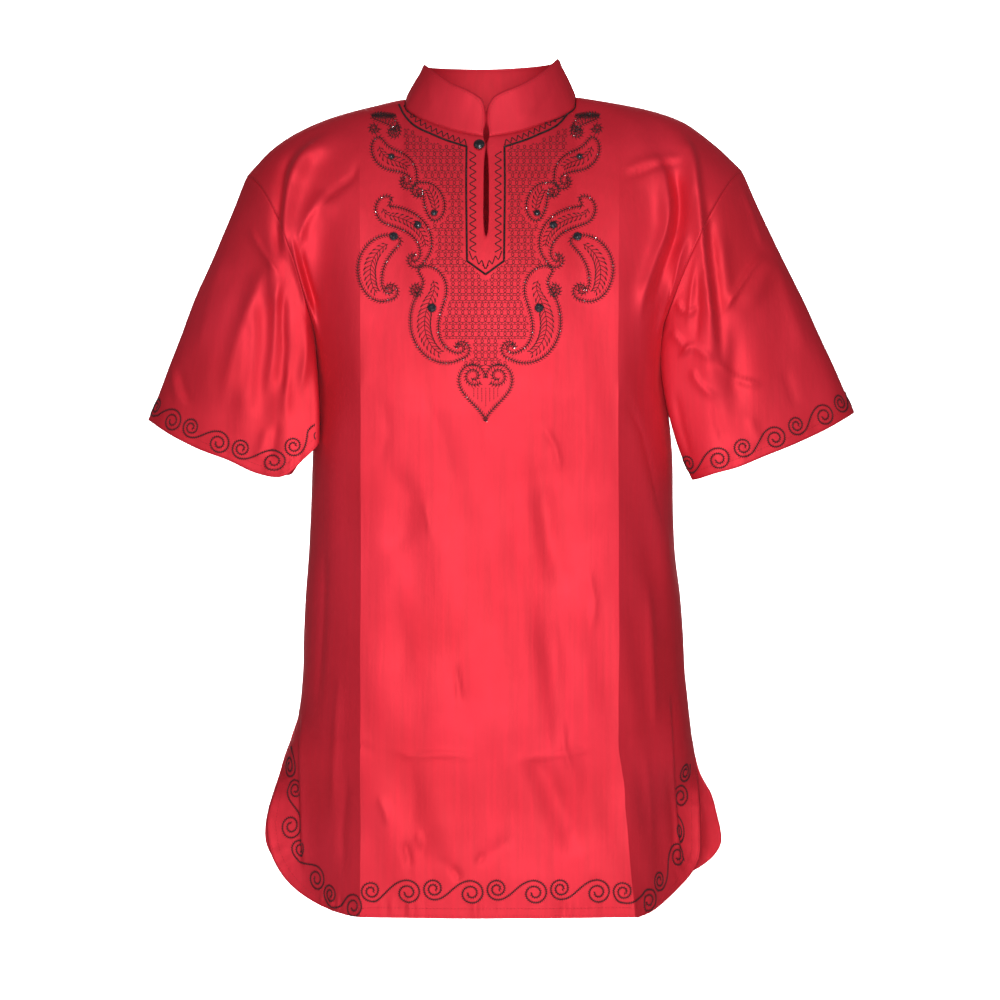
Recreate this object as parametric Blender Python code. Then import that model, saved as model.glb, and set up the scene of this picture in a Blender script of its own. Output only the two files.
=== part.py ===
"""Short-sleeved pullover shirt with a stand collar, a neck slit and side vents.

The shirt is filled out as if worn, with nobody in it. Each cloth piece is one
closed wall: an outer face from smooth sections, and the same face moved inwards.
Lengths are millimetres until a mesh is made. The origin lies between the two
shoulders. X runs to the wearer's left, Y to the back and Z up.
"""

import math

import bmesh
import bpy
import numpy as np

# Driving sizes
MM = 0.001
WALL = 1.6
COLLAR_WALL = 2.0
SEAM = 0.5
HEM_Z = -803.0
CORNER_Z = -745.0
CORNER_SHARE = 0.47
RIGHT_ROUND = 2.4
LEFT_ROUND = 1.9
ARMPIT_Z = -256.0
ARMPIT_DIP = 44.0
DIP_FROM_Z = -420.0
CENTRE_X = -0.5
FACET_TURN = 42.0
FLARE_FROM_Z = -645.0
FLARE_FULL_Z = -715.0
NECK_SHARE = 9 / 26
LAP_ANGLE = 38.0
RIGHT_LAP = 3.0
LEFT_LAP = 15.0
BUTTON_R = 5.5
LOOP_R = 0.9

# Counts along and around each piece
SIDE_STEPS = 13
FRONT_STEPS = 26
BACK_SIDE_STEPS = 6
BACK_STEPS = 13
UPPER_STEPS = 15
SLIT_STEP = 8
SLEEVE_STEPS = 13
COLLAR_STEPS = 5

# Front sections: z, right edge x, left edge x, edge y, right crease x, left crease x,
# crease y, middle y
FRONT_ROWS = (
    (-803, -199, 203, -58, -121, 142, -125, -135),
    (-788, -203, 206, -58, -121, 141, -125, -135),
    (-765, -208, 210, -56, -121, 139, -125, -135),
    (-740, -215, 211, -51, -121, 137, -125, -134),
    (-716, -217, 211, -43, -121, 135, -124, -134),
    (-698, -213, 211, -34, -121, 133, -124, -133),
    (-678, -207, 210, -20, -121, 132, -123, -133),
    (-658, -202, 208, -7, -121, 129, -123, -133),
    (-643, -197, 206, -0.2, -121, 127, -123, -132),
    (-618, -189, 203, -0.2, -121, 127, -122, -132),
    (-578, -184, 198, -0.2, -121, 127, -121, -131),
    (-538, -183, 196, -0.2, -121, 127, -119, -130),
    (-498, -181, 193, -0.2, -121, 127, -118, -129),
    (-458, -178, 188, -0.2, -121, 127, -117, -128),
    (-418, -176, 186, -0.2, -121, 127, -117, -127),
    (-358, -174, 185, -0.2, -121, 127, -118, -128),
    (-300, -171, 179, -0.2, -121, 127, -119, -130),
    (-256, -170, 172, -0.2, -121, 127, -120, -131),
)

# Back sections, with the same columns
BACK_ROWS = (
    (-803, -208, 226, 44, -119, 130, 124, 133),
    (-788, -214, 232, 43, -119, 130, 124, 133),
    (-765, -221, 237, 41, -119, 130, 124, 133),
    (-740, -225, 237, 37, -120, 129, 123, 133),
    (-718, -222, 232, 30, -120, 129, 123, 132),
    (-698, -216, 226, 20, -120, 128, 122, 132),
    (-678, -209, 215, 10, -121, 128, 122, 131),
    (-658, -203, 209, 4, -121, 127, 122, 131),
    (-643, -197, 206, 0.2, -121, 127, 121, 131),
    (-618, -189, 203, 0.2, -121, 127, 121, 130),
    (-578, -184, 198, 0.2, -121, 127, 120, 129),
    (-538, -183, 196, 0.2, -121, 127, 118, 127),
    (-498, -181, 193, 0.2, -121, 127, 117, 126),
    (-458, -178, 188, 0.2, -121, 127, 115, 124),
    (-418, -176, 186, 0.2, -121, 127, 115, 124),
    (-358, -174, 185, 0.2, -121, 127, 116, 126),
    (-300, -171, 179, 0.2, -121, 127, 118, 129),
    (-256, -170, 172, 0.2, -121, 127, 119, 130),
)

# Heights of the rows below the armpit, as measured at the side
LEVELS = (
    -803, -801, -796, -788, -777, -763, -746, -727, -706, -684, -662, -643, -620,
    -594, -566, -536, -505, -474, -443, -412, -381, -352, -326, -302, -280, -256,
)

# Top edge of the front: share across, x, y, z
FRONT_TOP = (
    (-1.0, -241, -0.2, -79),
    (-0.875, -212, -0.2, -49.5),
    (-0.75, -184, -0.2, -32.5),
    (-0.625, -156, -0.2, -21),
    (-0.5, -127, -0.2, -12.5),
    (-NECK_SHARE, -82, -0.2, -2),
    (-8 / 26, -82, -14, -11),
    (-6 / 26, -72, -34, -23),
    (-4 / 26, -53, -50, -33),
    (-2 / 26, -28, -63, -42),
    (0.0, CENTRE_X, -70, -47),
    (2 / 26, 28, -64, -43),
    (4 / 26, 56, -51, -33),
    (6 / 26, 77, -34, -23),
    (8 / 26, 88.5, -14, -11),
    (NECK_SHARE, 89.5, -0.2, 0),
    (0.5, 132, -0.2, -7),
    (0.625, 163, -0.2, -13.5),
    (0.75, 194, -0.2, -24),
    (0.875, 226, -0.2, -46),
    (1.0, 256, -0.2, -74),
)

# Top edge of the back, with the same columns
BACK_TOP = (
    (-1.0, -241, 0.2, -79),
    (-0.875, -212, 0.2, -49.5),
    (-0.75, -184, 0.2, -32.5),
    (-0.625, -156, 0.2, -21),
    (-0.5, -127, 0.2, -12.5),
    (-NECK_SHARE, -82, 0.2, -2),
    (-7 / 26, -74, 30, -5),
    (-4 / 26, -50, 52, -7),
    (0.0, 4, 66, -8),
    (4 / 26, 58, 52, -6),
    (7 / 26, 82, 30, -3),
    (NECK_SHARE, 89.5, 0.2, 0),
    (0.5, 132, 0.2, -7),
    (0.625, 163, 0.2, -13.5),
    (0.75, 194, 0.2, -24),
    (0.875, 226, 0.2, -46),
    (1.0, 256, 0.2, -74),
)

# How the cloth leaves the top edge: share across, then the handle's x, y, z
FRONT_LEAVE = (
    (-1.0, 36, -103, -11),
    (-0.5, 0, -75, -8),
    (-NECK_SHARE, 0, -60, -14),
    (0.0, 0, -32, -62),
    (NECK_SHARE, 0, -60, -14),
    (0.5, 0, -75, -8),
    (1.0, -32, -103, -16),
)
BACK_LEAVE = (
    (-1.0, 36, 99, -9),
    (-0.5, 0, 78, -6),
    (-NECK_SHARE, 0, 66, -10),
    (0.0, 0, 40, -42),
    (NECK_SHARE, 0, 66, -10),
    (0.5, 0, 78, -6),
    (1.0, -32, 99, -14),
)

# How it leaves the row level with the armpit, with the same columns
FRONT_RISE = (
    (-1.0, 8, -99, 11),
    (-0.8, 2, -30, 60),
    (-0.5, 0, -2, 112),
    (0.0, 0, -1, 100),
    (0.5, 0, -2, 112),
    (0.8, -6, -30, 60),
    (1.0, -12, -99, 8),
)
BACK_RISE = (
    (-1.0, 8, 95, 11),
    (-0.8, 2, 28, 60),
    (-0.5, 0, 2, 116),
    (0.0, 0, 2, 120),
    (0.5, 0, 2, 116),
    (0.8, -6, 28, 60),
    (1.0, -12, 95, 8),
)

# Half width of the slit by height
SLIT = (
    (-151, 0), (-146, 1.2), (-138, 2.2), (-108, 2.7), (-80, 2.2), (-68, 1.5),
    (-61, 0.6), (-56, 0.5), (-51, 2.2), (-47, 3.1),
)

# Half gap between the collar's ends by share of its height
COLLAR_GAP = ((0, 3.1), (0.2, 2.2), (0.4, 0.5), (1, 0.5))

# Top edge of the collar, from its left end round the back: share, x, y, z
COLLAR_TOP = (
    (0.0, 0.2, -61, -18),
    (0.02, 5, -61, -9.5),
    (0.05, 13, -60, -3.6),
    (0.1, 27.7, -57, 2.6),
    (0.15, 42.5, -49, 10.7),
    (0.2, 56, -37, 20.7),
    (0.27, 70.5, -9, 37),
    (0.34, 70, 20, 37.5),
    (0.42, 47, 46, 37),
    (0.5, 4, 57, 36),
    (0.58, -38, 46, 35),
    (0.66, -61, 20, 33),
    (0.73, -62.5, -9, 31.5),
    (0.8, -51, -36, 19.5),
    (0.85, -37, -49, 8.5),
    (0.9, -22, -57, 1),
    (0.95, -10.5, -60, -5.5),
    (0.98, -4.5, -61, -10.5),
    (1.0, -1.2, -61, -18),
)

# Cuffs: angle from the underarm by way of the front, x, y, z
RIGHT_CUFF = (
    (0, -180, 0, -343),
    (20, -175, -38, -345),
    (38, -163, -67, -347),
    (55, -178, -72, -363),
    (75, -199, -72, -380),
    (95, -225, -66, -377),
    (115, -254, -62, -364),
    (135, -286, -52, -352),
    (152, -314, -38, -338),
    (166, -332, -20, -327),
    (180, -340, 0, -322),
    (194, -335, 22, -325),
    (208, -319, 40, -336),
    (225, -292, 52, -350),
    (245, -260, 56, -362),
    (265, -229, 54, -369),
    (285, -203, 48, -378),
    (305, -193, 38, -371),
    (325, -188, 26, -358),
    (343, -184, 14, -349),
)
LEFT_CUFF = (
    (0, 210, -4, -371),
    (18, 205, -24, -377),
    (36, 202, -40, -383),
    (54, 209, -54, -382),
    (74, 224, -64, -377),
    (94, 246, -66, -371),
    (114, 273, -62, -360),
    (134, 303, -52, -348),
    (152, 334, -38, -334),
    (166, 358, -20, -321),
    (180, 368, 0, -315),
    (194, 362, 20, -318),
    (208, 342, 38, -331),
    (226, 313, 50, -344),
    (246, 283, 55, -355),
    (266, 255, 53, -361),
    (288, 232, 44, -371),
    (310, 218, 32, -373),
    (334, 213, 14, -371),
)

# Folds of the front: half width, height, then x and z along each
FRONT_FOLDS = (
    (10, 5, ((164, -83), (175, -115), (178, -138), (167, -172), (155, -201), (149, -260))),
    (8, 4, ((186, -150), (172, -190), (160, -225))),
    (8, 4, ((193, -43), (200, -74), (203, -112))),
    (9, -4, ((181, -77), (187, -118), (188, -150))),
    (10, 5, ((-140, -108), (-165, -126), (-173, -150), (-174, -185))),
    (9, 5, ((-150, -49), (-177, -68), (-190, -96))),
    (14, -4, ((50, -385), (58, -441), (80, -499))),
    (14, -4, ((58, -510), (67, -593), (76, -656))),
    (16, -5, ((40, -640), (66, -691), (94, -745))),
    (12, -3, ((-97, -366), (-75, -401), (-80, -433), (-100, -459))),
    (10, 4, ((140, -300), (156, -350), (172, -440), (178, -520))),
    (12, 3, ((-140, -300), (-150, -380), (-152, -470))),
)

# Folds of the back, with the same columns
BACK_FOLDS = (
    (12, 5, ((-165, -75), (-176, -120), (-172, -170), (-160, -230))),
    (12, 5, ((178, -70), (186, -118), (180, -170), (166, -230))),
    (16, -4, ((-60, -150), (-48, -240), (-52, -340))),
    (16, -4, ((62, -170), (54, -260), (60, -350))),
    (16, -4, ((-30, -430), (-42, -520), (-36, -610))),
    (16, 4, ((70, -480), (78, -580), (70, -690))),
)

# Folds of the sleeves' fronts, with the same columns
RIGHT_FOLDS = (
    (9, 5, ((-206, -128), (-205, -170), (-206, -225))),
    (11, 5, ((-226, -190), (-228, -235), (-234, -290), (-238, -330))),
    (11, -5, ((-216, -200), (-216, -250), (-222, -310))),
    (16, 5, ((-247, -180), (-256, -227), (-268, -285), (-276, -322))),
)
LEFT_FOLDS = (
    (9, 5, ((222, -120), (228, -170), (236, -230), (238, -285))),
    (9, -5, ((232, -200), (241, -250), (244, -310))),
    (10, 4, ((214, -190), (214, -240), (222, -300))),
    (12, 4, ((284, -159), (262, -197), (250, -218))),
)


def along(rows, at, corners=False):
    """Values of a table at the places given, on smooth curves through its rows.

    With corners, a column that turns back or stands still does so at its row.
    """
    table = np.asarray(rows, float)
    place = np.asarray(at, float)
    x = table[:, 0]
    y = table[:, 1:]
    step = np.diff(x)[:, None]
    rise = np.diff(y, axis=0) / step
    slope = np.empty_like(y)
    slope[0] = rise[0]
    slope[-1] = rise[-1]
    slope[1:-1] = (step[1:] * rise[:-1] + step[:-1] * rise[1:]) / (step[1:] + step[:-1])
    if corners:
        same = rise[:-1] * rise[1:]
        total = rise[:-1] + rise[1:]
        slope[1:-1] = np.where(same > 0, 2 * same / np.where(same > 0, total, 1), 0)
    k = np.clip(np.searchsorted(x, place, side="right") - 1, 0, len(x) - 2)
    h = step[k]
    t = (place[..., None] - x[k][..., None]) / h
    near = (1 + 2 * t) * (1 - t) ** 2 * y[k] + t * (1 - t) ** 2 * h * slope[k]
    far = t * t * (3 - 2 * t) * y[k + 1] + t * t * (t - 1) * h * slope[k + 1]
    return near + far


def eased(value, low, high):
    """0 below low, 1 above high, with a smooth rise between."""
    t = np.clip((np.asarray(value, float) - low) / (high - low), 0, 1)
    return t * t * (3 - 2 * t)


def bezier(a, b, c, d, t):
    t = np.asarray(t, float)[..., None]
    return (1 - t) ** 3 * a + 3 * t * (1 - t) ** 2 * b + 3 * t * t * (1 - t) * c + t**3 * d


def shell_point(share, z, rows, facing):
    """Points of the body below the armpits. share is -1 and 1 at the edges, 0 in the middle."""
    size = along(rows, z)
    right_x, left_x, edge_y, right_crease, left_crease, crease_y, middle_y = np.moveaxis(size, -1, 0)
    flat = np.clip(share, -0.5, 0.5) * 2
    spread = (left_crease - right_crease) / 2
    shift = (left_crease + right_crease) / 2 - CENTRE_X
    x = CENTRE_X + spread * flat + shift * flat**2
    y = middle_y + (crease_y - middle_y) * flat**2
    side = np.sign(share)
    q = np.clip(np.abs(share) * 2 - 1, 0, 1)
    start = np.stack([np.where(side < 0, right_crease, left_crease), crease_y], -1)
    end = np.stack([np.where(side < 0, right_x, left_x), edge_y], -1)
    reach = np.linalg.norm(end - start, axis=-1)
    turn = math.radians(FACET_TURN)
    first = np.stack([side * math.cos(turn) * reach / 3, -facing * math.sin(turn) * reach / 3], -1)
    # Level with the vents the edge turns outwards instead of round to the other panel
    flare = 1 - eased(z, FLARE_FULL_Z, FLARE_FROM_Z)
    last = reach[..., None] * np.stack(
        [-side * 0.3 * flare + 0 * reach, facing * (0.4 - 0.36 * flare) + 0 * reach], -1
    )
    curve = bezier(start, start + first, end + last, end, q)
    outside = np.abs(share) > 0.5
    x = np.where(outside, curve[..., 0], x)
    y = np.where(outside, curve[..., 1], y)
    return np.stack([x, y, z + 0 * x], -1)


def lower_point(share, level, rows, facing):
    """Points on the row that meets the side at this level, with the hem's round corners."""
    drop = np.clip((CORNER_Z - level) / (CORNER_Z - HEM_Z), 0, 1)
    power = np.where(np.asarray(share) < 0, RIGHT_ROUND, LEFT_ROUND)
    reach = 0.5 - CORNER_SHARE * (1 - (1 - drop**power) ** (1 / power))
    beyond = np.clip(np.abs(share) - 0.5, 0, 0.5) * 2
    kept = np.sign(share) * (np.minimum(np.abs(share), 0.5) + beyond * reach)
    dip = ARMPIT_DIP * eased(level, DIP_FROM_Z, ARMPIT_Z) * (1 - eased(np.abs(share), 0.7, 1.0))
    return shell_point(kept, level - dip, rows, facing)


def upper_point(share, rise, rows, top, leave, rise_rows, facing):
    """Points between the armpits and the top edge, rise going from 0 to 1."""
    low = lower_point(share, ARMPIT_Z + 0 * share, rows, facing)
    high = along(top, share, corners=True)
    return bezier(low, low + along(rise_rows, share), high + along(leave, share), high, rise)


def panel_point(share, height, front):
    """Height is 0 at the hem, 1 level with the armpit and 2 at the top edge."""
    share, height = np.broadcast_arrays(np.asarray(share, float), np.asarray(height, float))
    rows, top = (FRONT_ROWS, FRONT_TOP) if front else (BACK_ROWS, BACK_TOP)
    leave, rise = (FRONT_LEAVE, FRONT_RISE) if front else (BACK_LEAVE, BACK_RISE)
    facing = -1 if front else 1
    steps = np.arange(len(LEVELS)) / (len(LEVELS) - 1)
    level = along(np.stack([steps, LEVELS], -1), np.minimum(height, 1))[..., 0]
    low = lower_point(share, level, rows, facing)
    high = upper_point(share, np.clip(height - 1, 0, 1), rows, top, leave, rise, facing)
    return np.where((height > 1)[..., None], high, low)


def distance_to(points, path):
    """Distance of each x, z to a path, and how far along the path its nearest place is."""
    best = np.full(len(points), 1e9)
    where = np.zeros(len(points))
    path = np.asarray(path, float)
    lengths = np.linalg.norm(np.diff(path, axis=0), axis=1)
    total = lengths.sum()
    done = 0.0
    for a, b, length in zip(path[:-1], path[1:], lengths):
        t = np.clip((points - a) @ (b - a) / length**2, 0, 1)
        d = np.linalg.norm(points - a - t[:, None] * (b - a), axis=1)
        nearer = d < best
        best = np.where(nearer, d, best)
        where = np.where(nearer, (done + t * length) / total, where)
        done += length
    return best, where


def folded(points, normals, free, folds):
    """The points moved along their normals by the folds. free is 0 at a seam."""
    lift = np.zeros(len(points))
    for half_width, height, path in folds:
        d, t = distance_to(points[:, [0, 2]], path)
        ends = eased(t, 0, 0.25) * (1 - eased(t, 0.75, 1))
        lift += height * np.exp(-((d / half_width) ** 2)) * (0.25 + 0.75 * ends)
    return points + normals * (lift * free)[:, None]


def vertex_normals(points, faces):
    """Unit normals from the faces around each vertex."""
    total = np.zeros_like(points)
    quads = np.asarray(faces)
    a, b, c, d = (points[quads[:, k]] for k in range(4))
    face = np.cross(c - a, d - b)
    for k in range(4):
        np.add.at(total, quads[:, k], face)
    return total / np.linalg.norm(total, axis=1)[:, None]


def walled(points, faces, normals, thickness):
    """Vertices and faces of the wall behind an outer face, its rims closed."""
    count = len(points)
    inner = points - normals * thickness
    edges = set()
    for face in faces:
        for a, b in zip(face, face[1:] + face[:1]):
            edges.add((a, b))
    out = [tuple(face) for face in faces]
    out += [tuple(count + v for v in reversed(face)) for face in faces]
    for a, b in sorted(edges):
        if (b, a) not in edges:
            out.append((b, a, count + a, count + b))
    return np.concatenate([points, inner]), out


def material(name, colour, roughness, sheen):
    made = bpy.data.materials.new(name)
    made.use_nodes = True
    shader = made.node_tree.nodes["Principled BSDF"]
    shader.inputs["Base Color"].default_value = (*colour, 1)
    shader.inputs["Roughness"].default_value = roughness
    shader.inputs["Sheen Weight"].default_value = sheen
    return made


def add(name, vertices, faces, surface):
    mesh = bpy.data.meshes.new(name)
    mesh.from_pydata([tuple(float(c) * MM for c in v) for v in vertices], [], faces)
    mesh.validate()
    mesh.materials.append(surface)
    mesh.polygons.foreach_set("use_smooth", [True] * len(mesh.polygons))
    made = bpy.data.objects.new(name, mesh)
    bpy.context.scene.collection.objects.link(made)
    return made


def panel_shares(side_steps, steps):
    side = np.linspace(0.5, 1, side_steps + 1)[1:]
    return np.concatenate([-side[::-1], np.linspace(-0.5, 0.5, steps + 1), side])


def panel_heights():
    lower = np.arange(len(LEVELS)) / (len(LEVELS) - 1)
    return np.concatenate([lower, 1 + np.arange(1, UPPER_STEPS + 1) / UPPER_STEPS])


def panel(front):
    """Outer face of the front or the back as vertices, faces, normals and the armhole edges."""
    if front:
        shares = panel_shares(SIDE_STEPS, FRONT_STEPS)
    else:
        shares = panel_shares(BACK_SIDE_STEPS, BACK_STEPS)
    heights = panel_heights()
    grid = panel_point(shares[None, :], heights[:, None], front)
    rows, columns = grid.shape[:2]
    points = grid.reshape(-1, 3)
    middle = columns // 2
    index = np.arange(rows * columns).reshape(rows, columns)
    right_index, left_index = index.copy(), index.copy()
    slit_row = len(LEVELS) - 1 + SLIT_STEP
    if front:
        # The column in the middle is doubled above the slit's foot, and its copies move apart
        cut = np.arange(slit_row + 1, rows)
        extra = points[index[cut, middle]].copy()
        half = along(SLIT, np.clip(extra[:, 2], SLIT[0][0], SLIT[-1][0]))[:, 0]
        points[index[cut, middle], 0] -= half
        extra[:, 0] += half
        left_index[cut, middle] = len(points) + np.arange(len(cut))
        points = np.concatenate([points, extra])
    faces = []
    for i in range(rows - 1):
        for j in range(columns - 1):
            used = right_index if j < middle else left_index
            quad = [used[i, j], used[i, j + 1], used[i + 1, j + 1], used[i + 1, j]]
            faces.append([int(v) for v in (quad if front else reversed(quad))])
    normals = vertex_normals(points, faces)
    share = np.broadcast_to(np.abs(shares), (rows, columns)).reshape(-1)
    height = np.broadcast_to(heights[:, None], (rows, columns)).reshape(-1)
    free = (1 - eased(share, 0.86, 0.99)) * (1 - eased(height, 1.8, 1.97))
    free = np.concatenate([free, np.zeros(len(points) - len(free))])
    free[index[slit_row:, middle]] = 0
    points = folded(points, normals, free, FRONT_FOLDS if front else BACK_FOLDS)
    normals = vertex_normals(points, faces)
    # At the side and shoulder seams the wall's edge is square to the seam
    seams = [index[: len(LEVELS), 0], index[: len(LEVELS), -1], index[-1, np.abs(shares) > 0.33]]
    for line in seams:
        normals[line, 1] = 0
        normals[line] /= np.linalg.norm(normals[line], axis=1)[:, None]
    arm = np.arange(len(LEVELS) - 1, rows)
    return points, faces, normals, (index[arm, 0], index[arm, -1]), shares


def sleeve(front, back, cuff, folds, left):
    """Outer face of a sleeve, from the armhole edges of the front and the back to the cuff."""
    side = 1 if left else 0
    front_line, back_line = front[3][side], back[3][side]
    loop = np.concatenate([front[0][front_line], back[0][back_line][-2:0:-1]])
    out = np.concatenate([front[2][front_line], back[2][back_line][-2:0:-1]])
    around = len(loop)
    angle = np.arange(around) * 360 / around
    closed = cuff + tuple((row[0] + 360, *row[1:]) for row in cuff[:1])
    end = along(closed, angle)
    way = end - loop
    length = np.linalg.norm(way, axis=1)[:, None]
    sign = 1 if left else -1
    high = ((1 - np.cos(np.radians(angle))) / 2)[:, None]
    start = loop + SEAM * (1.5 - 0.5 * high) * out + 1.6 * SEAM * way / length
    under = (1 - high) ** 2 * np.array([[sign * 4, 0, 0]])
    near_lap = np.exp(-(((angle - LAP_ANGLE) / 20) ** 2))[:, None]
    lap = near_lap * np.array([[-sign * (LEFT_LAP if left else RIGHT_LAP), -9, 0]])
    first = start + way * 0.3 + under + lap
    second = end - way * 0.33 + lap
    steps = np.linspace(0, 1, SLEEVE_STEPS + 1)
    grid = bezier(start[None], first[None], second[None], end[None], steps[:, None])
    points = grid.reshape(-1, 3)
    index = np.arange(len(points)).reshape(SLEEVE_STEPS + 1, around)
    faces = []
    for i in range(SLEEVE_STEPS):
        for j in range(around):
            k = (j + 1) % around
            quad = [index[i, j], index[i, k], index[i + 1, k], index[i + 1, j]]
            faces.append([int(v) for v in (quad if not left else reversed(quad))])
    normals = vertex_normals(points, faces)
    facing = eased(-normals[:, 1], 0.1, 0.6)
    near = np.broadcast_to(steps[:, None], (SLEEVE_STEPS + 1, around)).reshape(-1)
    points = folded(points, normals, facing * eased(near, 0.02, 0.2), folds)
    normals = vertex_normals(points, faces)
    # Where the sleeve carries on the body's face, both walls end on one shared slant
    both = out + normals[:around]
    level = (out * normals[:around]).sum(axis=1) > 0.3
    shared = both / np.maximum(np.linalg.norm(both, axis=1), 1e-6)[:, None]
    normals[:around] = np.where(level[:, None], shared, normals[:around])
    half = len(front_line)
    edges = np.where(level[:, None], shared, out)
    front[2][front_line] = edges[:half]
    back[2][back_line[1:-1]] = edges[half:][::-1]
    return points, faces, normals


def collar(front_shares, back_shares):
    """Outer face of the collar, standing on the neck edges of the front and the back."""
    left = front_shares[(front_shares > -1e-9) & (front_shares < NECK_SHARE + 1e-6)]
    back = back_shares[np.abs(back_shares) < NECK_SHARE - 0.01][::-1]
    right = -left[::-1]
    base = np.concatenate(
        [
            panel_point(left, 2.0, True),
            panel_point(back, 2.0, False),
            panel_point(right, 2.0, True),
        ]
    )
    steps = np.linalg.norm(np.diff(base, axis=0), axis=1)
    share = np.concatenate([[0], np.cumsum(steps)]) / steps.sum()
    top = along(COLLAR_TOP, share)
    inward = np.array([CENTRE_X + 4, 0, 0]) - base
    inward[:, 2] = 0
    inward /= np.linalg.norm(inward, axis=1)[:, None]
    foot = base + SEAM * inward + np.array([0, 0, SEAM])
    lean = foot + (top - foot) * 0.4 + np.array([0, 0, 4]) * eased(top[:, 2], -10, 30)[:, None]
    t = np.linspace(0, 1, COLLAR_STEPS + 1)
    grid = bezier(foot[None], lean[None], ((top + lean) / 2)[None], top[None], t[:, None])
    half = along(COLLAR_GAP, t)[:, 0]
    grid[:, 0, 0] = CENTRE_X + half
    grid[:, -1, 0] = CENTRE_X - half
    rows, columns = grid.shape[:2]
    index = np.arange(rows * columns).reshape(rows, columns)
    faces = []
    for i in range(rows - 1):
        for j in range(columns - 1):
            quad = (index[i, j], index[i, j + 1], index[i + 1, j + 1], index[i + 1, j])
            faces.append([int(v) for v in quad])
    points = grid.reshape(-1, 3)
    normals = vertex_normals(points, faces)
    flat = normals[index[0]]
    flat[:, 2] = 0
    normals[index[0]] = flat / np.linalg.norm(flat, axis=1)[:, None]
    return points, faces, normals


def frame_at(share, height):
    """A place on the front's outer face, with its across, up and outward directions."""
    here = panel_point(share, height, True)
    across = panel_point(share + 0.004, height, True) - here
    up = panel_point(share, height + 0.004, True) - here
    across /= np.linalg.norm(across)
    out = np.cross(across, up)
    out /= np.linalg.norm(out)
    return here, across, np.cross(out, across), out


def turned(profile, centre, across, up, out, count):
    """A turned body: profile rows are radius and height along out, closed at both ends."""
    vertices = []
    faces = []
    for radius, height in profile:
        for k in range(count):
            a = 2 * math.pi * k / count
            spoke = math.cos(a) * across + math.sin(a) * up
            vertices.append(centre + radius * spoke + height * out)
    for i in range(len(profile) - 1):
        for k in range(count):
            n = (k + 1) % count
            quad = (i * count + k, i * count + n, (i + 1) * count + n, (i + 1) * count + k)
            faces.append(quad)
    faces.append(tuple(reversed(range(count))))
    faces.append(tuple((len(profile) - 1) * count + k for k in range(count)))
    return vertices, faces


def tube(path, radius, count):
    """A round cord along a path, with closed ends."""
    path = np.asarray(path, float)
    ways = np.gradient(path, axis=0)
    ways /= np.linalg.norm(ways, axis=1)[:, None]
    vertices = []
    faces = []
    side = np.cross(ways[0], [0.2, 1, 0.3])
    for place, way in zip(path, ways):
        side = side - (side @ way) * way
        side /= np.linalg.norm(side)
        other = np.cross(way, side)
        for k in range(count):
            a = 2 * math.pi * k / count
            vertices.append(place + radius * (math.cos(a) * side + math.sin(a) * other))
    for i in range(len(path) - 1):
        for k in range(count):
            n = (k + 1) % count
            faces.append((i * count + k, i * count + n, (i + 1) * count + n, (i + 1) * count + k))
    faces.append(tuple(reversed(range(count))))
    faces.append(tuple((len(path) - 1) * count + k for k in range(count)))
    return vertices, faces


def main():
    for old in list(bpy.data.objects):
        bpy.data.objects.remove(old)
    cloth = material("red_cotton", (0.62, 0.02, 0.05), 0.42, 0.3)
    band = material("red_collar_cotton", (0.62, 0.02, 0.05), 0.42, 0.3)
    black = material("black_button", (0.01, 0.01, 0.012), 0.18, 0.0)
    cord = material("red_cord", (0.5, 0.01, 0.03), 0.6, 0.2)

    front = panel(True)
    back = panel(False)
    for name, cuff, folds, left in (
        ("sleeve_right", RIGHT_CUFF, RIGHT_FOLDS, False),
        ("sleeve_left", LEFT_CUFF, LEFT_FOLDS, True),
    ):
        points, faces, normals = sleeve(front, back, cuff, folds, left)
        add(name, *walled(points, faces, normals, WALL), cloth)
    add("front_panel", *walled(front[0], front[1], front[2], WALL), cloth)
    add("back_panel", *walled(back[0], back[1], back[2], WALL), cloth)
    points, faces, normals = collar(front[4], back[4])
    add("collar", *walled(points, faces, normals, COLLAR_WALL), band)

    here, across, up, out = frame_at(-0.018, 1.94)
    profile = (
        (2.0, 0.5), (2.0, 2.9), (BUTTON_R - 0.5, 2.9), (BUTTON_R, 3.5), (BUTTON_R - 0.2, 4.4),
        (BUTTON_R - 1.6, 5.4), (BUTTON_R - 3.4, 5.9),
    )
    add("button", *turned(profile, here, across, up, out, 20), black)
    path = []
    for step in range(21):
        a = math.radians(-42 + step * 304 / 20)
        path.append(here + 3.6 * (math.cos(a) * across + math.sin(a) * up) + 1.66 * out)
    add("button_loop", *tube(path, LOOP_R, 7), cord)


main()
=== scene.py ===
"""Dashiki shirt: red polished cotton with black embroidery, filled out as if worn.

The shirt is laid out here from the same section tables as its solids, sampled finely,
so each cloth piece lies where its solid lies. Lengths are millimetres until a mesh is
made. The origin lies between the shoulders: X to the wearer's left, Y to the back, Z up.
Places on the front are also given as (across, down) in the front view, 1 unit for 1 mm
in the plane of the side seams, because the embroidery is drawn there.
"""

import math

import bpy
import numpy as np
from bpy.props import FloatProperty, FloatVectorProperty, PointerProperty
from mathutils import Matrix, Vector
from mathutils.bvhtree import BVHTree


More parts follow.
